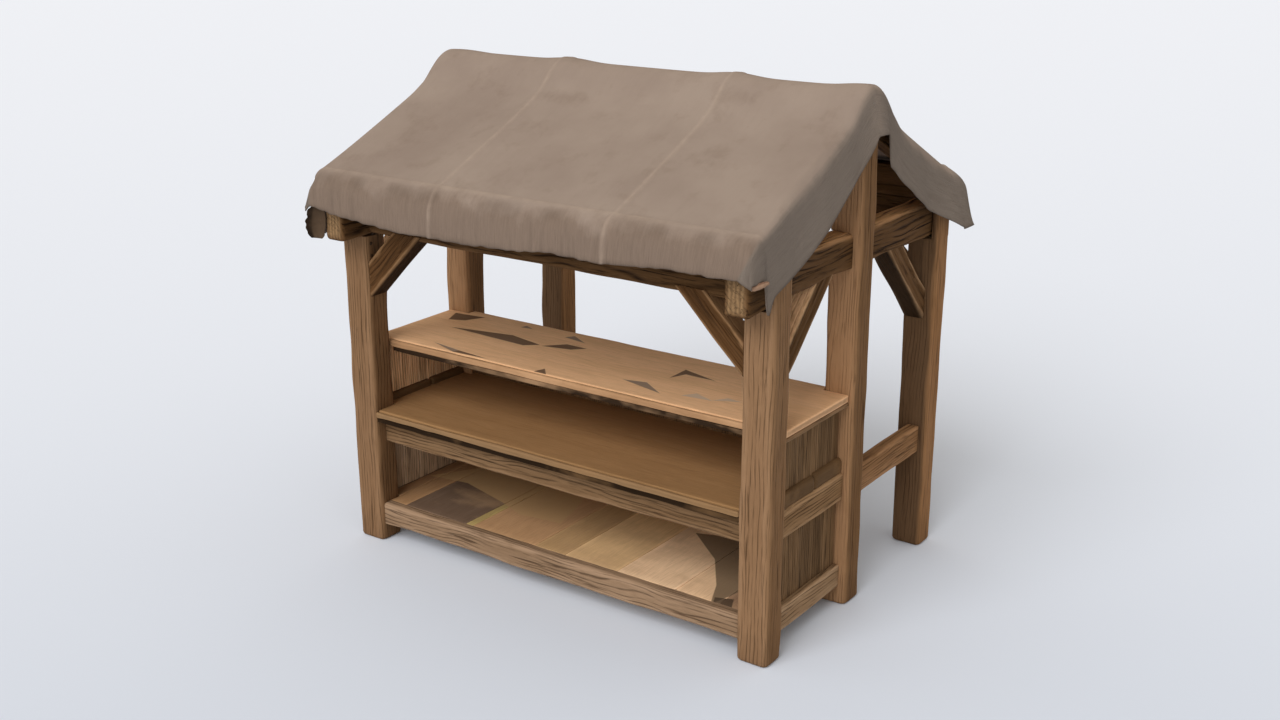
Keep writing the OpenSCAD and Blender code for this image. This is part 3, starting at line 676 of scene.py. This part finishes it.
def planed_boards(name, pale, deep, streak, stain, splits_and_shadows=(), streaking=0.2, wear=0.6):
    """Planed oak boards: quiet grain, pale worn edges, soft stains, splits where wood came off, and patches
    of painted shadow. Each kind is a colour, a depth, and outlines; each outline is a fan of triangles
    round its first corner, whose masks add up."""
    cut, rubbed = ([share * c for c in pale] for share in (0.6, 1.15))
    material, wood, colour = grained_oak(name, pale, deep, streak, cut, rubbed, lines=26.0, waver=4.0,
                                         width=0.13, streaking=streaking, facets=0.25, wear=wear)
    tree = material.node_tree
    place = add(tree, "TexCoord", output="Object")
    blots = between(tree, stretched_noise(tree, place, (2.2, 4.0, 4.0), 4.0, 0.6), 0.52, 0.7, 0.0, 0.45)
    colour = blend(tree, blots, colour, stain)
    height = wood["Height"]
    # Splits on the counter and painted shadows on the bottom shelf, each kind in one colour.
    for shade, deepness, outlines in splits_and_shadows:
        split = 0.0
        for first, *others in outlines:
            for second, third in zip(others, others[1:]):
                corners = {"A": (*first, 0.0), "B": (*second, 0.0), "C": (*third, 0.0)}
                split = plus(tree, split, use_group(tree, three_corner_mask, corners | {"Place": place})["Mask"])
        split = between(tree, split, 0.0, 1.0)
        colour = blend(tree, times(tree, split, 0.9), colour, shade)
        height = minus(tree, height, times(tree, split, deepness))
    return finished(material, colour, between(tree, wood["Figure"], 0.0, 1.0, 0.55, 0.75), height, 0.002)


counter_slivers = [
    ((0.12, 0.07, 0.042), 1.5, [
        ((-1.055, -0.190), (-0.975, -0.156), (-0.922, -0.061), (-1.103, -0.082)),
        ((-0.608, -0.214), (-0.958, -0.282), (-0.463, -0.313), (-0.400, -0.260)),
        ((-0.298, -0.177), (-0.382, -0.267), (-0.230, -0.234), (-0.174, -0.179)),
        ((-0.674, -0.585), (-0.470, -0.573), (-0.665, -0.552)),
        ((0.391, -0.167), (0.395, -0.304), (0.428, -0.222), (0.593, -0.226)),
        ((-0.170, -0.591), (-0.098, -0.592), (-0.150, -0.534))]),
    ((0.24, 0.175, 0.13), 0.8, [
        ((-0.855, -0.521), (-0.674, -0.585), (-0.665, -0.552)),
        ((0.233, -0.446), (0.478, -0.507), (0.346, -0.418)),
        ((-0.662, -0.086), (-0.591, -0.078), (-0.653, -0.050)),
        ((-0.376, -0.092), (-0.236, -0.113), (-0.346, -0.050))]),
    ((0.58, 0.42, 0.3), 0.2, [
        ((0.569, -0.475), (0.727, -0.460), (0.612, -0.413)),
        ((0.716, -0.452), (0.837, -0.398), (0.760, -0.389))]),
]
# Painted shadows on the bottom shelf: a brown patch where the middle shelf's shadow lies at the back left, a
# darker one towards the right end, and a near-black one, the rail's shadow, at the front right.
floor_painted_shadows = [
    ((0.48, 0.3, 0.145), 0.0, [
        ((-0.500, 0.600), (-1.100, -0.340), (-0.868, -0.300), (-0.543, -0.394), (-0.402, -0.452),
         (-0.163, -0.422), (-0.207, -0.244))]),
    ((0.2, 0.135, 0.08), 0.0, [
        ((1.100, 0.100), (0.436, -0.135), (0.665, -0.325), (0.814, -0.546), (0.890, -0.716))]),
    ((0.08, 0.052, 0.033), 0.5, [
        ((0.898, -0.710), (0.989, -0.700), (0.951, -0.618), (0.871, -0.647))]),
]
# The counter's boards are coloured far paler than the other oak, partly as painted light on a top that lies
# in the canopy's shade; its front strip is toned down to about half.
counter_boards = planed_boards("counter_boards", pale=(0.88, 0.53, 0.29), deep=(0.8, 0.475, 0.256),
                               streak=(0.3, 0.165, 0.085), stain=(0.66, 0.395, 0.215),
                               splits_and_shadows=counter_slivers, wear=0.3)
shelf_boards = planed_boards("shelf_boards", pale=(0.36, 0.202, 0.09), deep=(0.315, 0.175, 0.076),
                             streak=(0.13, 0.07, 0.03), stain=(0.29, 0.16, 0.07), wear=0.25)
floor_boards = planed_boards("floor_boards", pale=(0.62, 0.4, 0.23), deep=(0.54, 0.345, 0.195),
                             streak=(0.2, 0.115, 0.058), stain=(0.46, 0.29, 0.16), splits_and_shadows=floor_painted_shadows,
                             streaking=0.12)
nosing = 0.026
nosing_lap = 0.001
batten_drop = 0.022
batten_lap = 0.003
counter_batten_front, counter_batten_back = 0.006, 0.034
shelf_batten_front, shelf_batten_lap = 0.012, 0.02
post_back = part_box("front_right_post")[1].y


def notched_board(low, high, front_y, seed):
    """A board behind its nosing that runs on past the posts at both ends: wherever x lies beyond the
    posts' inner faces, its front is cut back to front_y and its rear edge to the king posts."""
    start = low.y + nosing
    cuts = []
    for begin, until in ((low.x - 1, -king_low.x), (king_low.x, high.x + 1)):
        cuts += [(begin, until, 1, -1, front_y - start), (begin, until, 1, 1, high.y - king_low.y)]
    return node_timber((low.x, start, low.z), high, 0, seed, arris=0.006, hewing=0.002, notches=cuts)


def painted_shade_batten(board_z, front_y, back_y, seed, arris, tone):
    """A batten from post to post, tucked under the front of a board; its near-black tone is painted shade,
    the dark line under the nosing.
    """
    return node_timber((-king_low.x, front_y, board_z - batten_drop),
                       (king_low.x, back_y, board_z + batten_lap), 0, seed, grow=seat, arris=arris,
                       hewing=arris, tone=tone)


low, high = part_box("counter_top")
front = node_timber(low, (high.x, low.y + nosing + nosing_lap, high.z), 0, 136, arris=0.012, hewing=0.006,
                    tone=(0.47, 0.44, 0.41), step=0.012, facet=0.009)
counter = [notched_board(low, high, low.y + nosing, 130), front,
           painted_shade_batten(low.z, low.y + counter_batten_front, low.y + counter_batten_back, 135, 0.004,
                       (0.035, 0.032, 0.03))]
make_piece("planed_counter_top", counter, counter_boards, "boards", "counter_top")

low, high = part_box("middle_shelf")
rail_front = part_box("front_middle_rail")[0].y
front = node_timber((-king_low.x, low.y, low.z), (king_low.x, low.y + nosing + nosing_lap, high.z), 0, 137,
                    grow=seat, arris=0.015, hewing=0.01, tone=(0.76, 0.8, 0.88), step=0.012, facet=0.009)
shelf = [notched_board(low, high, post_back, 131), front,
         painted_shade_batten(low.z, low.y + shelf_batten_front, rail_front + shelf_batten_lap, 133, 0.003,
                     (0.06, 0.055, 0.05))]
sill_inner = king_low.x + 0.045
sill_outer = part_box("right_middle_rail")[1].x - 0.004
sill_levels = (low.z - 0.016, high.z + 0.036)
sill_joint = -0.295
sill_gap = 0.002
sill_lengths = ((post_back, sill_joint - sill_gap, 138), (sill_joint + sill_gap, king_low.y, 139))
for sign in side_signs.values():
    edges = sorted((sign * sill_inner, sign * sill_outer))
    for begin, until, seed in sill_lengths:
        shelf.append(node_timber((edges[0], begin, sill_levels[0]), (edges[1], until, sill_levels[1]), 1,
                                 seed + sign, arris=0.028, ends=(0.014, 0.014), hewing=0.007,
                                 tone=(0.36, 0.36, 0.37), step=0.014, facet=0.012))
make_piece("planed_middle_shelf", shelf, shelf_boards, "boards", "middle_shelf")

low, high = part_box("bottom_shelf")
# Each board has its own tone, odd boards of differing colour; the pale boards from 0.07 to 0.92 are also
# painted light, and the last board at the right end painted shade.
floor_plan = [(-1.042, -0.935, (0.72, 0.64, 0.55)), (-0.935, -0.54, (0.29, 0.29, 0.34)),
              (-0.54, -0.495, (0.78, 0.88, 0.62)), (-0.495, -0.11, (0.88, 0.8, 0.72)),
              (-0.11, 0.07, (0.86, 0.84, 0.72)), (0.07, 0.37, (1.3, 1.33, 1.2)),
              (0.37, 0.69, (1.55, 1.65, 1.8)), (0.69, 0.92, (1.5, 1.56, 1.65)),
              (0.92, 1.042, (0.6, 0.56, 0.58))]
floor_ends = [(low.x, -king_low.x, (0.7, 0.62, 0.55)), (king_low.x, high.x, (1.0, 0.95, 0.95))]
boards = []
for plan, front_y, back_y, seed in ((floor_plan, low.y, high.y, 141),
                                    (floor_ends, post_back, king_low.y, 151)):
    for i, (begin, until, tone) in enumerate(plan):
        boards.append(node_timber((begin, front_y, low.z), (until, back_y, high.z), 1, seed + i, arris=0.003,
                                  ends=(0.003, 0.003), hewing=0.002, tone=tone, step=0.04))
make_piece("planed_bottom_shelf", boards, floor_boards, "boards", "bottom_shelf")

bearer_width = 0.06
bearers = []
low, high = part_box("counter_bearers")
for sign in side_signs.values():
    edges = sorted((sign * (high.x - bearer_width), sign * high.x))
    bearers.append(node_timber((edges[0], low.y, low.z), (edges[1], high.y, high.z), 1, 134 + sign, grow=seat,
                               arris=0.005, ends=(0.003, 0.003), hewing=0.001))
make_piece("sawn_counter_bearers", bearers, rail_oak, "beams", "counter_bearers")


# Panels
# Upright boards close both sides and the back of the counter bay, above and below the middle shelf.
# Thin riven oak, dark and dry, standing close together in the rails' rebates with rounded edges; the left
# panels have painted light on their inner sides, and the lower back boards are painted lighter too.
panel_oak = oak("panel_oak", pale=(0.209, 0.12, 0.057), deep=(0.138, 0.078, 0.036),
                streak=(0.03, 0.017, 0.008), end=(0.12, 0.07, 0.035), worn=(0.25, 0.148, 0.074), lines=75.0,
                waver=2.5, width=0.2, streaking=0.85, wear=0.5, depth=0.004)
board_lap = 0.003
board_setback = 0.004


def upright_boards(low, high, axis, count, seed, tint=plain_tone, faces=None):
    """Boards side by side along an axis, count of them in the box from low to high, a little lapped,
    each with its own tone and set back by its own small amount."""
    low, high = np.array(low, float), np.array(high, float)
    pitch = (high[axis] - low[axis]) / count
    thin = 1 - axis
    rng = np.random.default_rng(seed)
    back = rng.uniform(0.0, board_setback, (count, 2))
    tone = rng.uniform(0.8, 1.2, (count, 1)) * np.array(tint)
    boards = []
    for i in range(count):
        corner, far = low.copy(), high.copy()
        corner[axis] = max(low[axis], low[axis] + i * pitch - board_lap / 2)
        far[axis] = min(high[axis], low[axis] + (i + 1) * pitch + board_lap / 2)
        corner[thin] += back[i, 0]
        far[thin] -= back[i, 1]
        boards.append(node_timber(corner, far, 2, seed + i, arris=0.008, ends=(0.002, 0.002),
                                  hewing=0.002, tone=tone[i], faces=faces, step=0.03))
    return boards


# Painted light: the left panels' inner sides are made three to six times paler, though the bay shades them.
painted_light_inside = {"left_lower_panel": {"+y": (3.4, 4.2, 5.8)}, "left_upper_panel": {"+y": (4.6, 5.2, 6.2)}}
for side in side_signs:
    for level, count, seed in (("lower", 5, 150), ("upper", 9, 170)):
        node = f"{side}_{level}_panel"
        low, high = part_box(node)
        boards = upright_boards(low, high, 1, count, seed + len(side), faces=painted_light_inside.get(node))
        make_piece(f"riven_{node}", boards, panel_oak, "panels", node)

low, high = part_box("back_panels")
rail_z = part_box("back_middle_rail")[0].z
shelf_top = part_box("middle_shelf")[1].z
# The lower back boards are toned lighter as painted light, where the deep bay shades them.
boards = upright_boards(low, (high.x, high.y, rail_z), 0, 14, 200, (1.6, 1.5, 1.3))
boards += upright_boards((low.x, low.y, shelf_top), high, 0, 14, 220)
make_piece("riven_back_panels", boards, panel_oak, "panels", "back_panels")


# Canopy
# One cloth of coarse hemp, sewn from three widths, is thrown over the ridge and the rafters. It sags a
# little between the rafters, falls over both eaves, and folds down over the gables as ragged flaps whose
# front corners hang in torn points.
cloth_thick = 0.005
scrap_thick = 0.003
cloth_gap = 0.0003
crest_z = ridge_high.z + 0.004
crest_round = 0.1
crest_blend = 0.06
cloth_sag = 0.018
front_reach, front_drop = 0.076, 0.188
rear_reach, rear_drop = 0.12, 0.245
gable_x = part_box("right_gable_rafters")[1].x
inner_low, inner_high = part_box("right_inner_rafters")
fold_past = 0.016
fold_x = gable_x + fold_past
fold_round = 0.048
fold_turn = math.radians(60)
flap_fall, flap_slope, flap_ease, flap_flare = 0.15, 0.42, 0.25, 0.03
seam_x = (-0.44, 0.51)
seam_half, seam_ridge = 0.011, 0.004
point_down, point_half, point_fall = 0.862, 0.024, 0.055
hem_level = 0.012
corner_x, corner_down = 0.98, 0.55
corner_crisp, corner_flare, corner_tuck, corner_hollow = 0.03, 0.05, 0.06, 0.022
bump_heights = ((-1.09, 0.005), (-0.42, 0.012), (0.5, 0.013), (1.13, 0.014))
hem_places = (-1.154, -0.95, -0.6, -0.2, 0.3, 0.7, 1.154)
hem_lifts = (0.02, 0.0, -0.022, -0.018, 0.0, 0.02, 0.03)


def slope_z(away, pitch):
    """Height of the cloth's underside on a slope: the smooth maximum of a round crest and the rafters'
    straight line, which fall with the distance from the ridge."""
    crest = crest_z - away ** 2 / (2 * crest_round)
    line = rafter_crown + cloth_gap - pitch * away
    shared = np.maximum(crest_blend - np.abs(crest - line), 0)
    return np.maximum(crest, line) + shared ** 2 / (4 * crest_blend)


def hump(value, middle, half):
    """A smooth bell of height one round the middle."""
    return np.exp(-((value - middle) / half) ** 2)


def ease(value, low, high):
    """Smooth step from zero at low to one at high."""
    share = np.clip((value - low) / (high - low), 0, 1)
    return share * share * (3 - 2 * share)


def fall_line(run, pitch, reach, drop):
    """One side of the cloth from the ridge down: level distance from the ridge, height, distance along
    the slope, and share of the drop. Past the eave the distance eases out to the reach while the height
    falls with a power."""
    slope = np.unique(np.append(np.linspace(0, 1, 84), 1 - np.array([0.004, 0.008, 0.014, 0.022])))
    fall = np.linspace(0, 1, 33)[1:]
    out = np.append(run * slope, run + reach * (1 - (1 - fall) ** 3))
    height = np.append(slope_z(run * slope, pitch), slope_z(run, pitch) - drop * fall ** 1.6)
    return out, height, np.append(run * slope, run + 0 * fall), np.append(0 * slope, fall)


front_side = fall_line(front_run, front_pitch, front_reach, front_drop)
rear_side = fall_line(rear_run, rear_pitch, rear_reach, rear_drop)
away, base, down, fall_share = (np.append(front[::-1], rear[1:])[:, None]
                                for front, rear in zip(front_side, rear_side))
facing = np.append(-np.ones(len(front_side[0])), np.ones(len(rear_side[0]) - 1))[:, None]
is_front = facing < 0
pitch = np.where(is_front, front_pitch, rear_pitch)
run = np.where(is_front, front_run, rear_run)
hem_z = slope_z(run, pitch) - np.where(is_front, front_drop, rear_drop)

beside = np.array([-0.024, -0.018, -0.012, -0.008, -0.004, 0, 0.004, 0.008, 0.012, 0.018, 0.024])
flat_x = np.unique(np.concatenate([np.linspace(-fold_x, fold_x, 150)] + [beside + x for x in seam_x]))
turns = np.linspace(0, fold_turn, 9)[1:]
shares = np.linspace(0, 1, 21)[1:]
column_x = np.concatenate([-fold_x - 0 * shares, -fold_x - 0 * turns, flat_x, fold_x + 0 * turns,
                           fold_x + 0 * shares])
column_turn = np.concatenate([fold_turn + 0 * shares, turns[::-1], 0 * flat_x, turns,
                              fold_turn + 0 * shares])
column_flap = np.concatenate([shares[::-1], 0 * turns, 0 * flat_x, 0 * turns, shares])
side = np.sign(column_x)
front_left, front_right = is_front & (side < 0), is_front & (side > 0)

inner_x = (inner_low.x + inner_high.x) / 2
rafters_x = np.array([-gable_x, -inner_x, inner_x, gable_x])
bay = np.clip(np.searchsorted(rafters_x, column_x) - 1, 0, 2)
within = np.clip((column_x - rafters_x[bay]) / (rafters_x[bay + 1] - rafters_x[bay]), 0, 1)
bay_sag = 4 * within * (1 - within)
slack = np.sin(np.pi * down / run)
bumps = sum(height * hump(column_x, x, 0.11) for x, height in bump_heights) * hump(away, 0, 0.2)
bridge = np.where(is_front, 0.012 * hump(away, 0.17, 0.08),
                  0.047 * hump(away, 0.17, 0.11) * ease(away, 0, 0.09))
past_rafter = np.clip((np.abs(column_x) - gable_x) / fold_past, 0, 1) * np.clip(column_turn / fold_turn, 0, 1)

# The flap's lower edge: a hollow curve down from the ridge, as in the solid, which ends in a torn point
# near the front eave; past the eave it runs level with the hem. Beside the ridge the rear edge is cut back.
edge_z = rafter_crown - flap_fall - (pitch + flap_slope) * down + flap_ease * (down / run) ** 2
edge_z = edge_z - np.where(is_front, point_fall * hump(down, point_down, point_half),
                           0.02 + 0.02 * ease(down, 0.65, run))
notch = np.where(is_front, 1 - ease(down, 0.0, 0.03), 1 - ease(down, 0.105, 0.135))
edge_z = edge_z + (rafter_crown - flap_fall + 0.004 - edge_z) * notch
ending = np.where(is_front, ease(down, point_down + point_half / 2, run), 0.0)
edge_z = edge_z + (hem_z + hem_level - edge_z) * ending
edge_z = np.where(fall_share > 0, hem_z + np.where(is_front, hem_level, -0.05), edge_z)

# The cloth's places: crisp at the right front corner, hanging past the gable rafters, turned down there
# as a flap, lifted along the front hem, flared at the rear corners and tucked in at the front ones.
crisp = np.where(front_right, ease(down, corner_down, run), 0.0)
x = column_x + side * (fold_round * (1 - 0.5 * crisp) * np.sin(column_turn) + flap_flare * column_flap)
x = x + corner_crisp * crisp * ease(column_x, corner_x, fold_x) * (1 - column_flap)
z = base - cloth_sag * bay_sag * slack + bumps + bridge
hang = np.where(is_front, np.where(side < 0, 0.032, 0.02) * slack,
                0.045 * slack + 0.035 * ease(down, 0.4, run) * (1 - fall_share))
z = z - fold_round * (1 - np.cos(column_turn)) * (1 - fall_share) - hang * past_rafter
lift = np.where(is_front, fall_share ** 2, 0) * np.interp(column_x, hem_places, hem_lifts)
z = z + lift * (1 - column_flap)
z = z + (np.minimum(edge_z, z - 0.004) - z) * column_flap
flare = np.where(is_front, 0, corner_flare) * ease(down, corner_down, run) * ease(column_turn, 0, fold_turn)
x = x + side * flare * (0.4 + 0.6 * np.maximum(column_flap, fall_share))
tuck = np.where(front_right, corner_tuck * fall_share ** 2.5, 0)
tuck = tuck + np.where(front_left, corner_hollow * hump(fall_share, 0.4, 0.25), 0)
x = x - side * tuck * ease(np.abs(column_x), corner_x, fold_x) * (1 - column_flap)
y = ridge_y + facing * away + 0 * x

# Loose cloth: pleats and a ragged hem on the drops, dents under the eave's crease, fluttering flaps
across = np.stack([x, 0 * x + facing, 0 * x], axis=-1)
pleat = smooth_noise(across, (0.17, 1, 1), 301) + 0.4 * smooth_noise(across, (0.06, 1, 1), 302)
ragged = smooth_noise(across, (0.21, 1, 1), 303) + 0.5 * smooth_noise(across, (0.035, 1, 1), 304)
gather = sum(hump(column_x, at, 0.018) for at in seam_x)
past = np.where(fall_share > 0, fall_share, (down - run) / 0.1)
dents = hump(past, 0.3, 0.2) * ease(smooth_noise(across, (0.11, 1, 1), 308), -0.1, 0.6)
y = y + facing * (fall_share * (0.008 * pleat + 0.006 * gather) - 0.008 * dents)
z = z + 0.008 * fall_share ** 2 * ragged * (1 - column_flap)
crease = hump(past, 0, 0.09) * (1 - ease(column_turn, 0, fold_turn)) + 0 * x
z = z + 0.003 * crease
# Painted highlight: the mask for the pale line along the eave's crease and the ridge's crest.
crease = np.maximum(crease, 0.5 * hump(away, 0, 0.07))
downhill = np.stack([0 * y, y, 0 * y + side], axis=-1)
flutter = smooth_noise(downhill, (1, 0.21, 1), 305) + 0.4 * smooth_noise(downhill, (1, 0.07, 1), 306)
x = x + side * 0.009 * column_flap * flutter
z = z + 0.008 * column_flap * flutter
loose = smooth_noise(np.stack([x, y, z], axis=-1), (0.3, 0.3, 0.3), 307)
z = z + 0.005 * loose * slack * bay_sag * (fall_share == 0)

# The weave counts metres along the cloth from its middle, before the seams are raised
points = np.stack([x, y, z], axis=-1)
rows, columns = x.shape
step_u = np.linalg.norm(np.diff(points, axis=1), axis=-1)
step_v = np.linalg.norm(np.diff(points, axis=0), axis=-1)
weave_u = np.concatenate([np.zeros((rows, 1)), np.cumsum(step_u, axis=1)], axis=1)
weave_u = weave_u - weave_u[:, [columns // 2]]
weave_v = np.concatenate([np.zeros((1, columns)), np.cumsum(step_v, axis=0)])
weave_v = weave_v - weave_v[[len(front_side[0]) - 1]]
seam = sum(hump(column_x, at, seam_half) for at in seam_x) * (column_turn == 0) + 0 * x
normal = np.cross(np.gradient(points, axis=1), np.gradient(points, axis=0))
normal /= np.linalg.norm(normal, axis=-1, keepdims=True) + 1e-12
points = points + seam_ridge * seam[..., None] * normal
flap = np.clip(column_flap + 0.8 * ease(column_turn, 0.25 * fold_turn, fold_turn), 0, 1) + 0 * x
hems = np.maximum(ease(fall_share, 0.9, 1.0), ease(column_flap, 0.9, 1.0)) + 0 * x


def hemp(name, pale, deep, drop_colour, flap_colour, rubbed_colour):
    """Coarse hemp: threads crossing in a plain weave, blotches between two greys, fine threads down the
    falls, browner drops and greyer flaps, dirty hems, painted shade in the dents under the eave's crease,
    pale worn seams, and a painted highlight along the creases and the ridge's crest."""
    material = bpy.data.materials.new(name)
    material.use_nodes = True
    tree = material.node_tree
    weave = attribute(tree, "weave", "Vector")
    place = add(tree, "TexCoord", output="Object")
    blotch = between(tree, stretched_noise(tree, place, (1.9, 1.9, 1.9), 5.0, 0.6), 0.36, 0.66)
    colour = blend(tree, blotch, pale, deep)
    dirt = stretched_noise(tree, place, (6.0, 6.0, 6.0), 4.0, 0.62)
    uneven = between(tree, dirt, 0.3, 0.7, -0.2, 0.2)
    dropped = between(tree, plus(tree, attribute(tree, "fall"), uneven), 0.05, 0.5)
    colour = blend(tree, dropped, colour, drop_colour)
    flap = between(tree, plus(tree, attribute(tree, "flap"), uneven), 0.3, 0.9)
    colour = blend(tree, flap, colour, flap_colour)
    hung = larger(tree, dropped, flap)
    thread = between(tree, stretched_noise(tree, weave, (150.0, 5.0, 1.0), 3.0, 0.6), 0.42, 0.7)
    stain = between(tree, stretched_noise(tree, weave, (30.0, 3.0, 1.0), 4.0, 0.6), 0.5, 0.75)
    streaks = larger(tree, times(tree, thread, 0.5), stain)
    streaks = times(tree, streaks, between(tree, hung, 0.0, 1.0, 0.06, 0.4))
    dark = [0.55 * c for c in drop_colour]
    colour = blend(tree, streaks, colour, dark)
    soil = times(tree, attribute(tree, "hem"), between(tree, dirt, 0.35, 0.65, 0.1, 0.6))
    # Painted shade in the dents under the eave's crease.
    soil = larger(tree, soil, times(tree, attribute(tree, "dent"), 0.3))
    colour = blend(tree, soil, colour, dark)
    worn = between(tree, stretched_noise(tree, weave, (14.0, 14.0, 1.0), 3.0, 0.6), 0.4, 0.62, 0.35, 0.75)
    # Pale worn seams, and a painted highlight along the creases.
    rubbed = larger(tree, times(tree, attribute(tree, "seam"), 0.6),
                    times(tree, attribute(tree, "crease"), 0.75))
    colour = blend(tree, times(tree, rubbed, worn), colour, rubbed_colour)
    warp, weft = (add(tree, "TexWave", {"Vector": weave, "Scale": 95.0, "Distortion": 0.6, "Detail": 1.0},
                      output=1, bands_direction=way) for way in "XY")
    height = plus(tree, times(tree, times(tree, warp, weft), 0.3), times(tree, dirt, 0.5))
    height = minus(tree, height, times(tree, times(tree, thread, hung), 0.5))
    return finished(material, colour, between(tree, dirt, 0.3, 0.7, 0.82, 0.95), height, 0.003)


hemp_cloth = hemp("hemp", pale=(0.335, 0.262, 0.212), deep=(0.285, 0.218, 0.176),
                  drop_colour=(0.23, 0.168, 0.128), flap_colour=(0.216, 0.176, 0.144),
                  rubbed_colour=(0.42, 0.325, 0.255))
canopy = new_piece("hemp_canopy", points, grid_quads(rows, columns).tolist(), hemp_cloth, "canvas",
                   weave=np.stack([weave_u, weave_v, 0 * weave_u], axis=-1), seam=seam, flap=flap,
                   fall=fall_share + 0 * x, hem=hems, crease=crease, dent=dents * (1 - flap))
thickness = canopy.modifiers.new("cloth_thickness", "SOLIDIFY")
thickness.thickness = cloth_thick
thickness.offset = 1.0


def torn_strip(start, end, width, curl, outward, seed):
    """A torn scrap along a line from start to end: a strip as wide as given, narrowing to both ends, bent
    round the line by the angle curl with its back to the outward side, and a ragged edge of noise."""
    along = np.linspace(0, 1, 25)[:, None]
    over = np.linspace(-1, 1, 25)[None, :]
    start, end, outward = np.array(start), np.array(end), np.array(outward)
    taper = np.sin(np.pi * (0.12 + 0.8 * along)) ** 0.7
    frayed = smooth_noise(np.stack([along * 9 + 0 * over, over + 0 * along, 0 * along * over], axis=-1),
                          (1, 1, 1), seed)
    reach = width * taper * (1 + 0.18 * frayed)
    round_by = width / curl
    turn = over * curl * 0.5 * reach / width
    down = np.cross((end - start) / np.linalg.norm(end - start), outward)
    bow = 0.008 * np.sin(np.pi * along) + 0.004 * frayed
    return (start + along[..., None] * (end - start)
            + (round_by * (np.cos(turn) - 1) + bow)[..., None] * outward
            + (round_by * np.sin(turn))[..., None] * down)


fresh_hemp = hemp("fresh_hemp", pale=(0.44, 0.31, 0.22), deep=(0.33, 0.19, 0.115),
                  drop_colour=(0.3, 0.16, 0.1), flap_colour=(0.3, 0.16, 0.1),
                  rubbed_colour=(0.5, 0.36, 0.26))
# Painted shade: the curled corner's hemp is near black, the shade inside the curl.
painted_shade_hemp = hemp("painted_shade_hemp", pale=(0.12, 0.078, 0.048), deep=(0.075, 0.047, 0.029),
                   drop_colour=(0.02, 0.014, 0.01), flap_colour=(0.06, 0.04, 0.03),
                   rubbed_colour=(0.2, 0.14, 0.1))
torn = torn_strip((1.199, -0.955, 1.725), (1.231, -0.876, 1.738), 0.03, 2.2, (1.0, 0.0, 0.0), 331)
curled = torn_strip((-1.185, -0.92, 1.735), (-1.2, -0.92, 1.583), 0.115, 2.4, (-0.53, 0.85, 0.0), 332)
for name, material, strip in (("torn_corner", fresh_hemp, torn), ("curled_corner", painted_shade_hemp, curled)):
    rows, columns = strip.shape[:2]
    # Painted shade: a dark crescent along one edge of each scrap, the shadow inside its curl.
    curl_shadow = 1.6 * ease(np.linspace(-1, 1, columns), -0.35, -0.6) + 0 * strip[..., 0]
    scrap = new_piece(name, strip, grid_quads(rows, columns, turned=True).tolist(), material, "canvas",
                      weave=strip[..., [1, 2, 0]], hem=curl_shadow)
    scrap.modifiers.new("cloth_thickness", "SOLIDIFY").thickness = scrap_thick
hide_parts("canopy")


# Floor, light and view
# A wide pale floor whose paint grows lighter away from the camera as painted light, a broad soft key light
# from above the front, a weak low fill into the bay, and an even sky, at a level where a colour renders
# about as it is written.
floor_reach = 60.0
nearest_floor = 3.0
fade_from, fade_to = 0.19, 0.026
near_floor, far_floor = (0.7, 0.75, 0.845), (0.865, 0.9, 0.975)
sky_light, backdrop_colour = (0.9, 0.86, 0.8), (1.16, 1.2, 1.27)
sky_strength = 0.68

floor_mesh = bpy.data.meshes.new("studio_floor")
floor_mesh.from_pydata([(-floor_reach, -floor_reach, 0), (floor_reach, -floor_reach, 0),
                        (floor_reach, floor_reach, 0), (-floor_reach, floor_reach, 0)], [], [(0, 1, 2, 3)])
floor = bpy.data.objects.new("studio_floor", floor_mesh)
bpy.context.scene.collection.objects.link(floor)
floor_paint = bpy.data.materials.new("studio_paint")
floor_paint.use_nodes = True
tree = floor_paint.node_tree
# Painted light: the paint fades with one divided by the metres ahead of the camera's place, lighter far off
heading = (-math.sin(view_turn), math.cos(view_turn), 0.0)
stand_off = -(heading[0] * camera.location.x + heading[1] * camera.location.y)
ahead = vectors(tree, "DOT_PRODUCT", add(tree, "TexCoord", output="Object"), heading)
ahead = larger(tree, plus(tree, ahead, stand_off), nearest_floor)
fade = between(tree, arithmetic("DIVIDE")(tree, 1.0, ahead), fade_from, fade_to)
feed(tree, tree.nodes["Principled BSDF"], {"Base Color": blend(tree, fade, near_floor, far_floor),
                                           "Roughness": 0.9, "Specular IOR Level": 0.0})
floor_mesh.materials.append(floor_paint)

sky = bpy.data.worlds.new("studio_sky")
sky.use_nodes = True
tree = sky.node_tree
backdrop = blend(tree, add(tree, "LightPath", output="Is Camera Ray"), sky_light, backdrop_colour)
feed(tree, tree.nodes["Background"], {"Color": backdrop, "Strength": sky_strength})
bpy.context.scene.world = sky

for name, energy, spread, travel in (("key_light", 1.75, 42, (0.02, 0.76, -0.65)),
                                     ("fill_light", 0.5, 60, (-0.25, 0.95, -0.12))):
    light = bpy.data.lights.new(name, "SUN")
    light.energy = energy
    light.angle = math.radians(spread)
    lamp = bpy.data.objects.new(name, light)
    lamp.rotation_euler = Vector(travel).to_track_quat("-Z", "Y").to_euler()
    bpy.context.scene.collection.objects.link(lamp)
bpy.context.scene.view_settings.view_transform = "Standard"
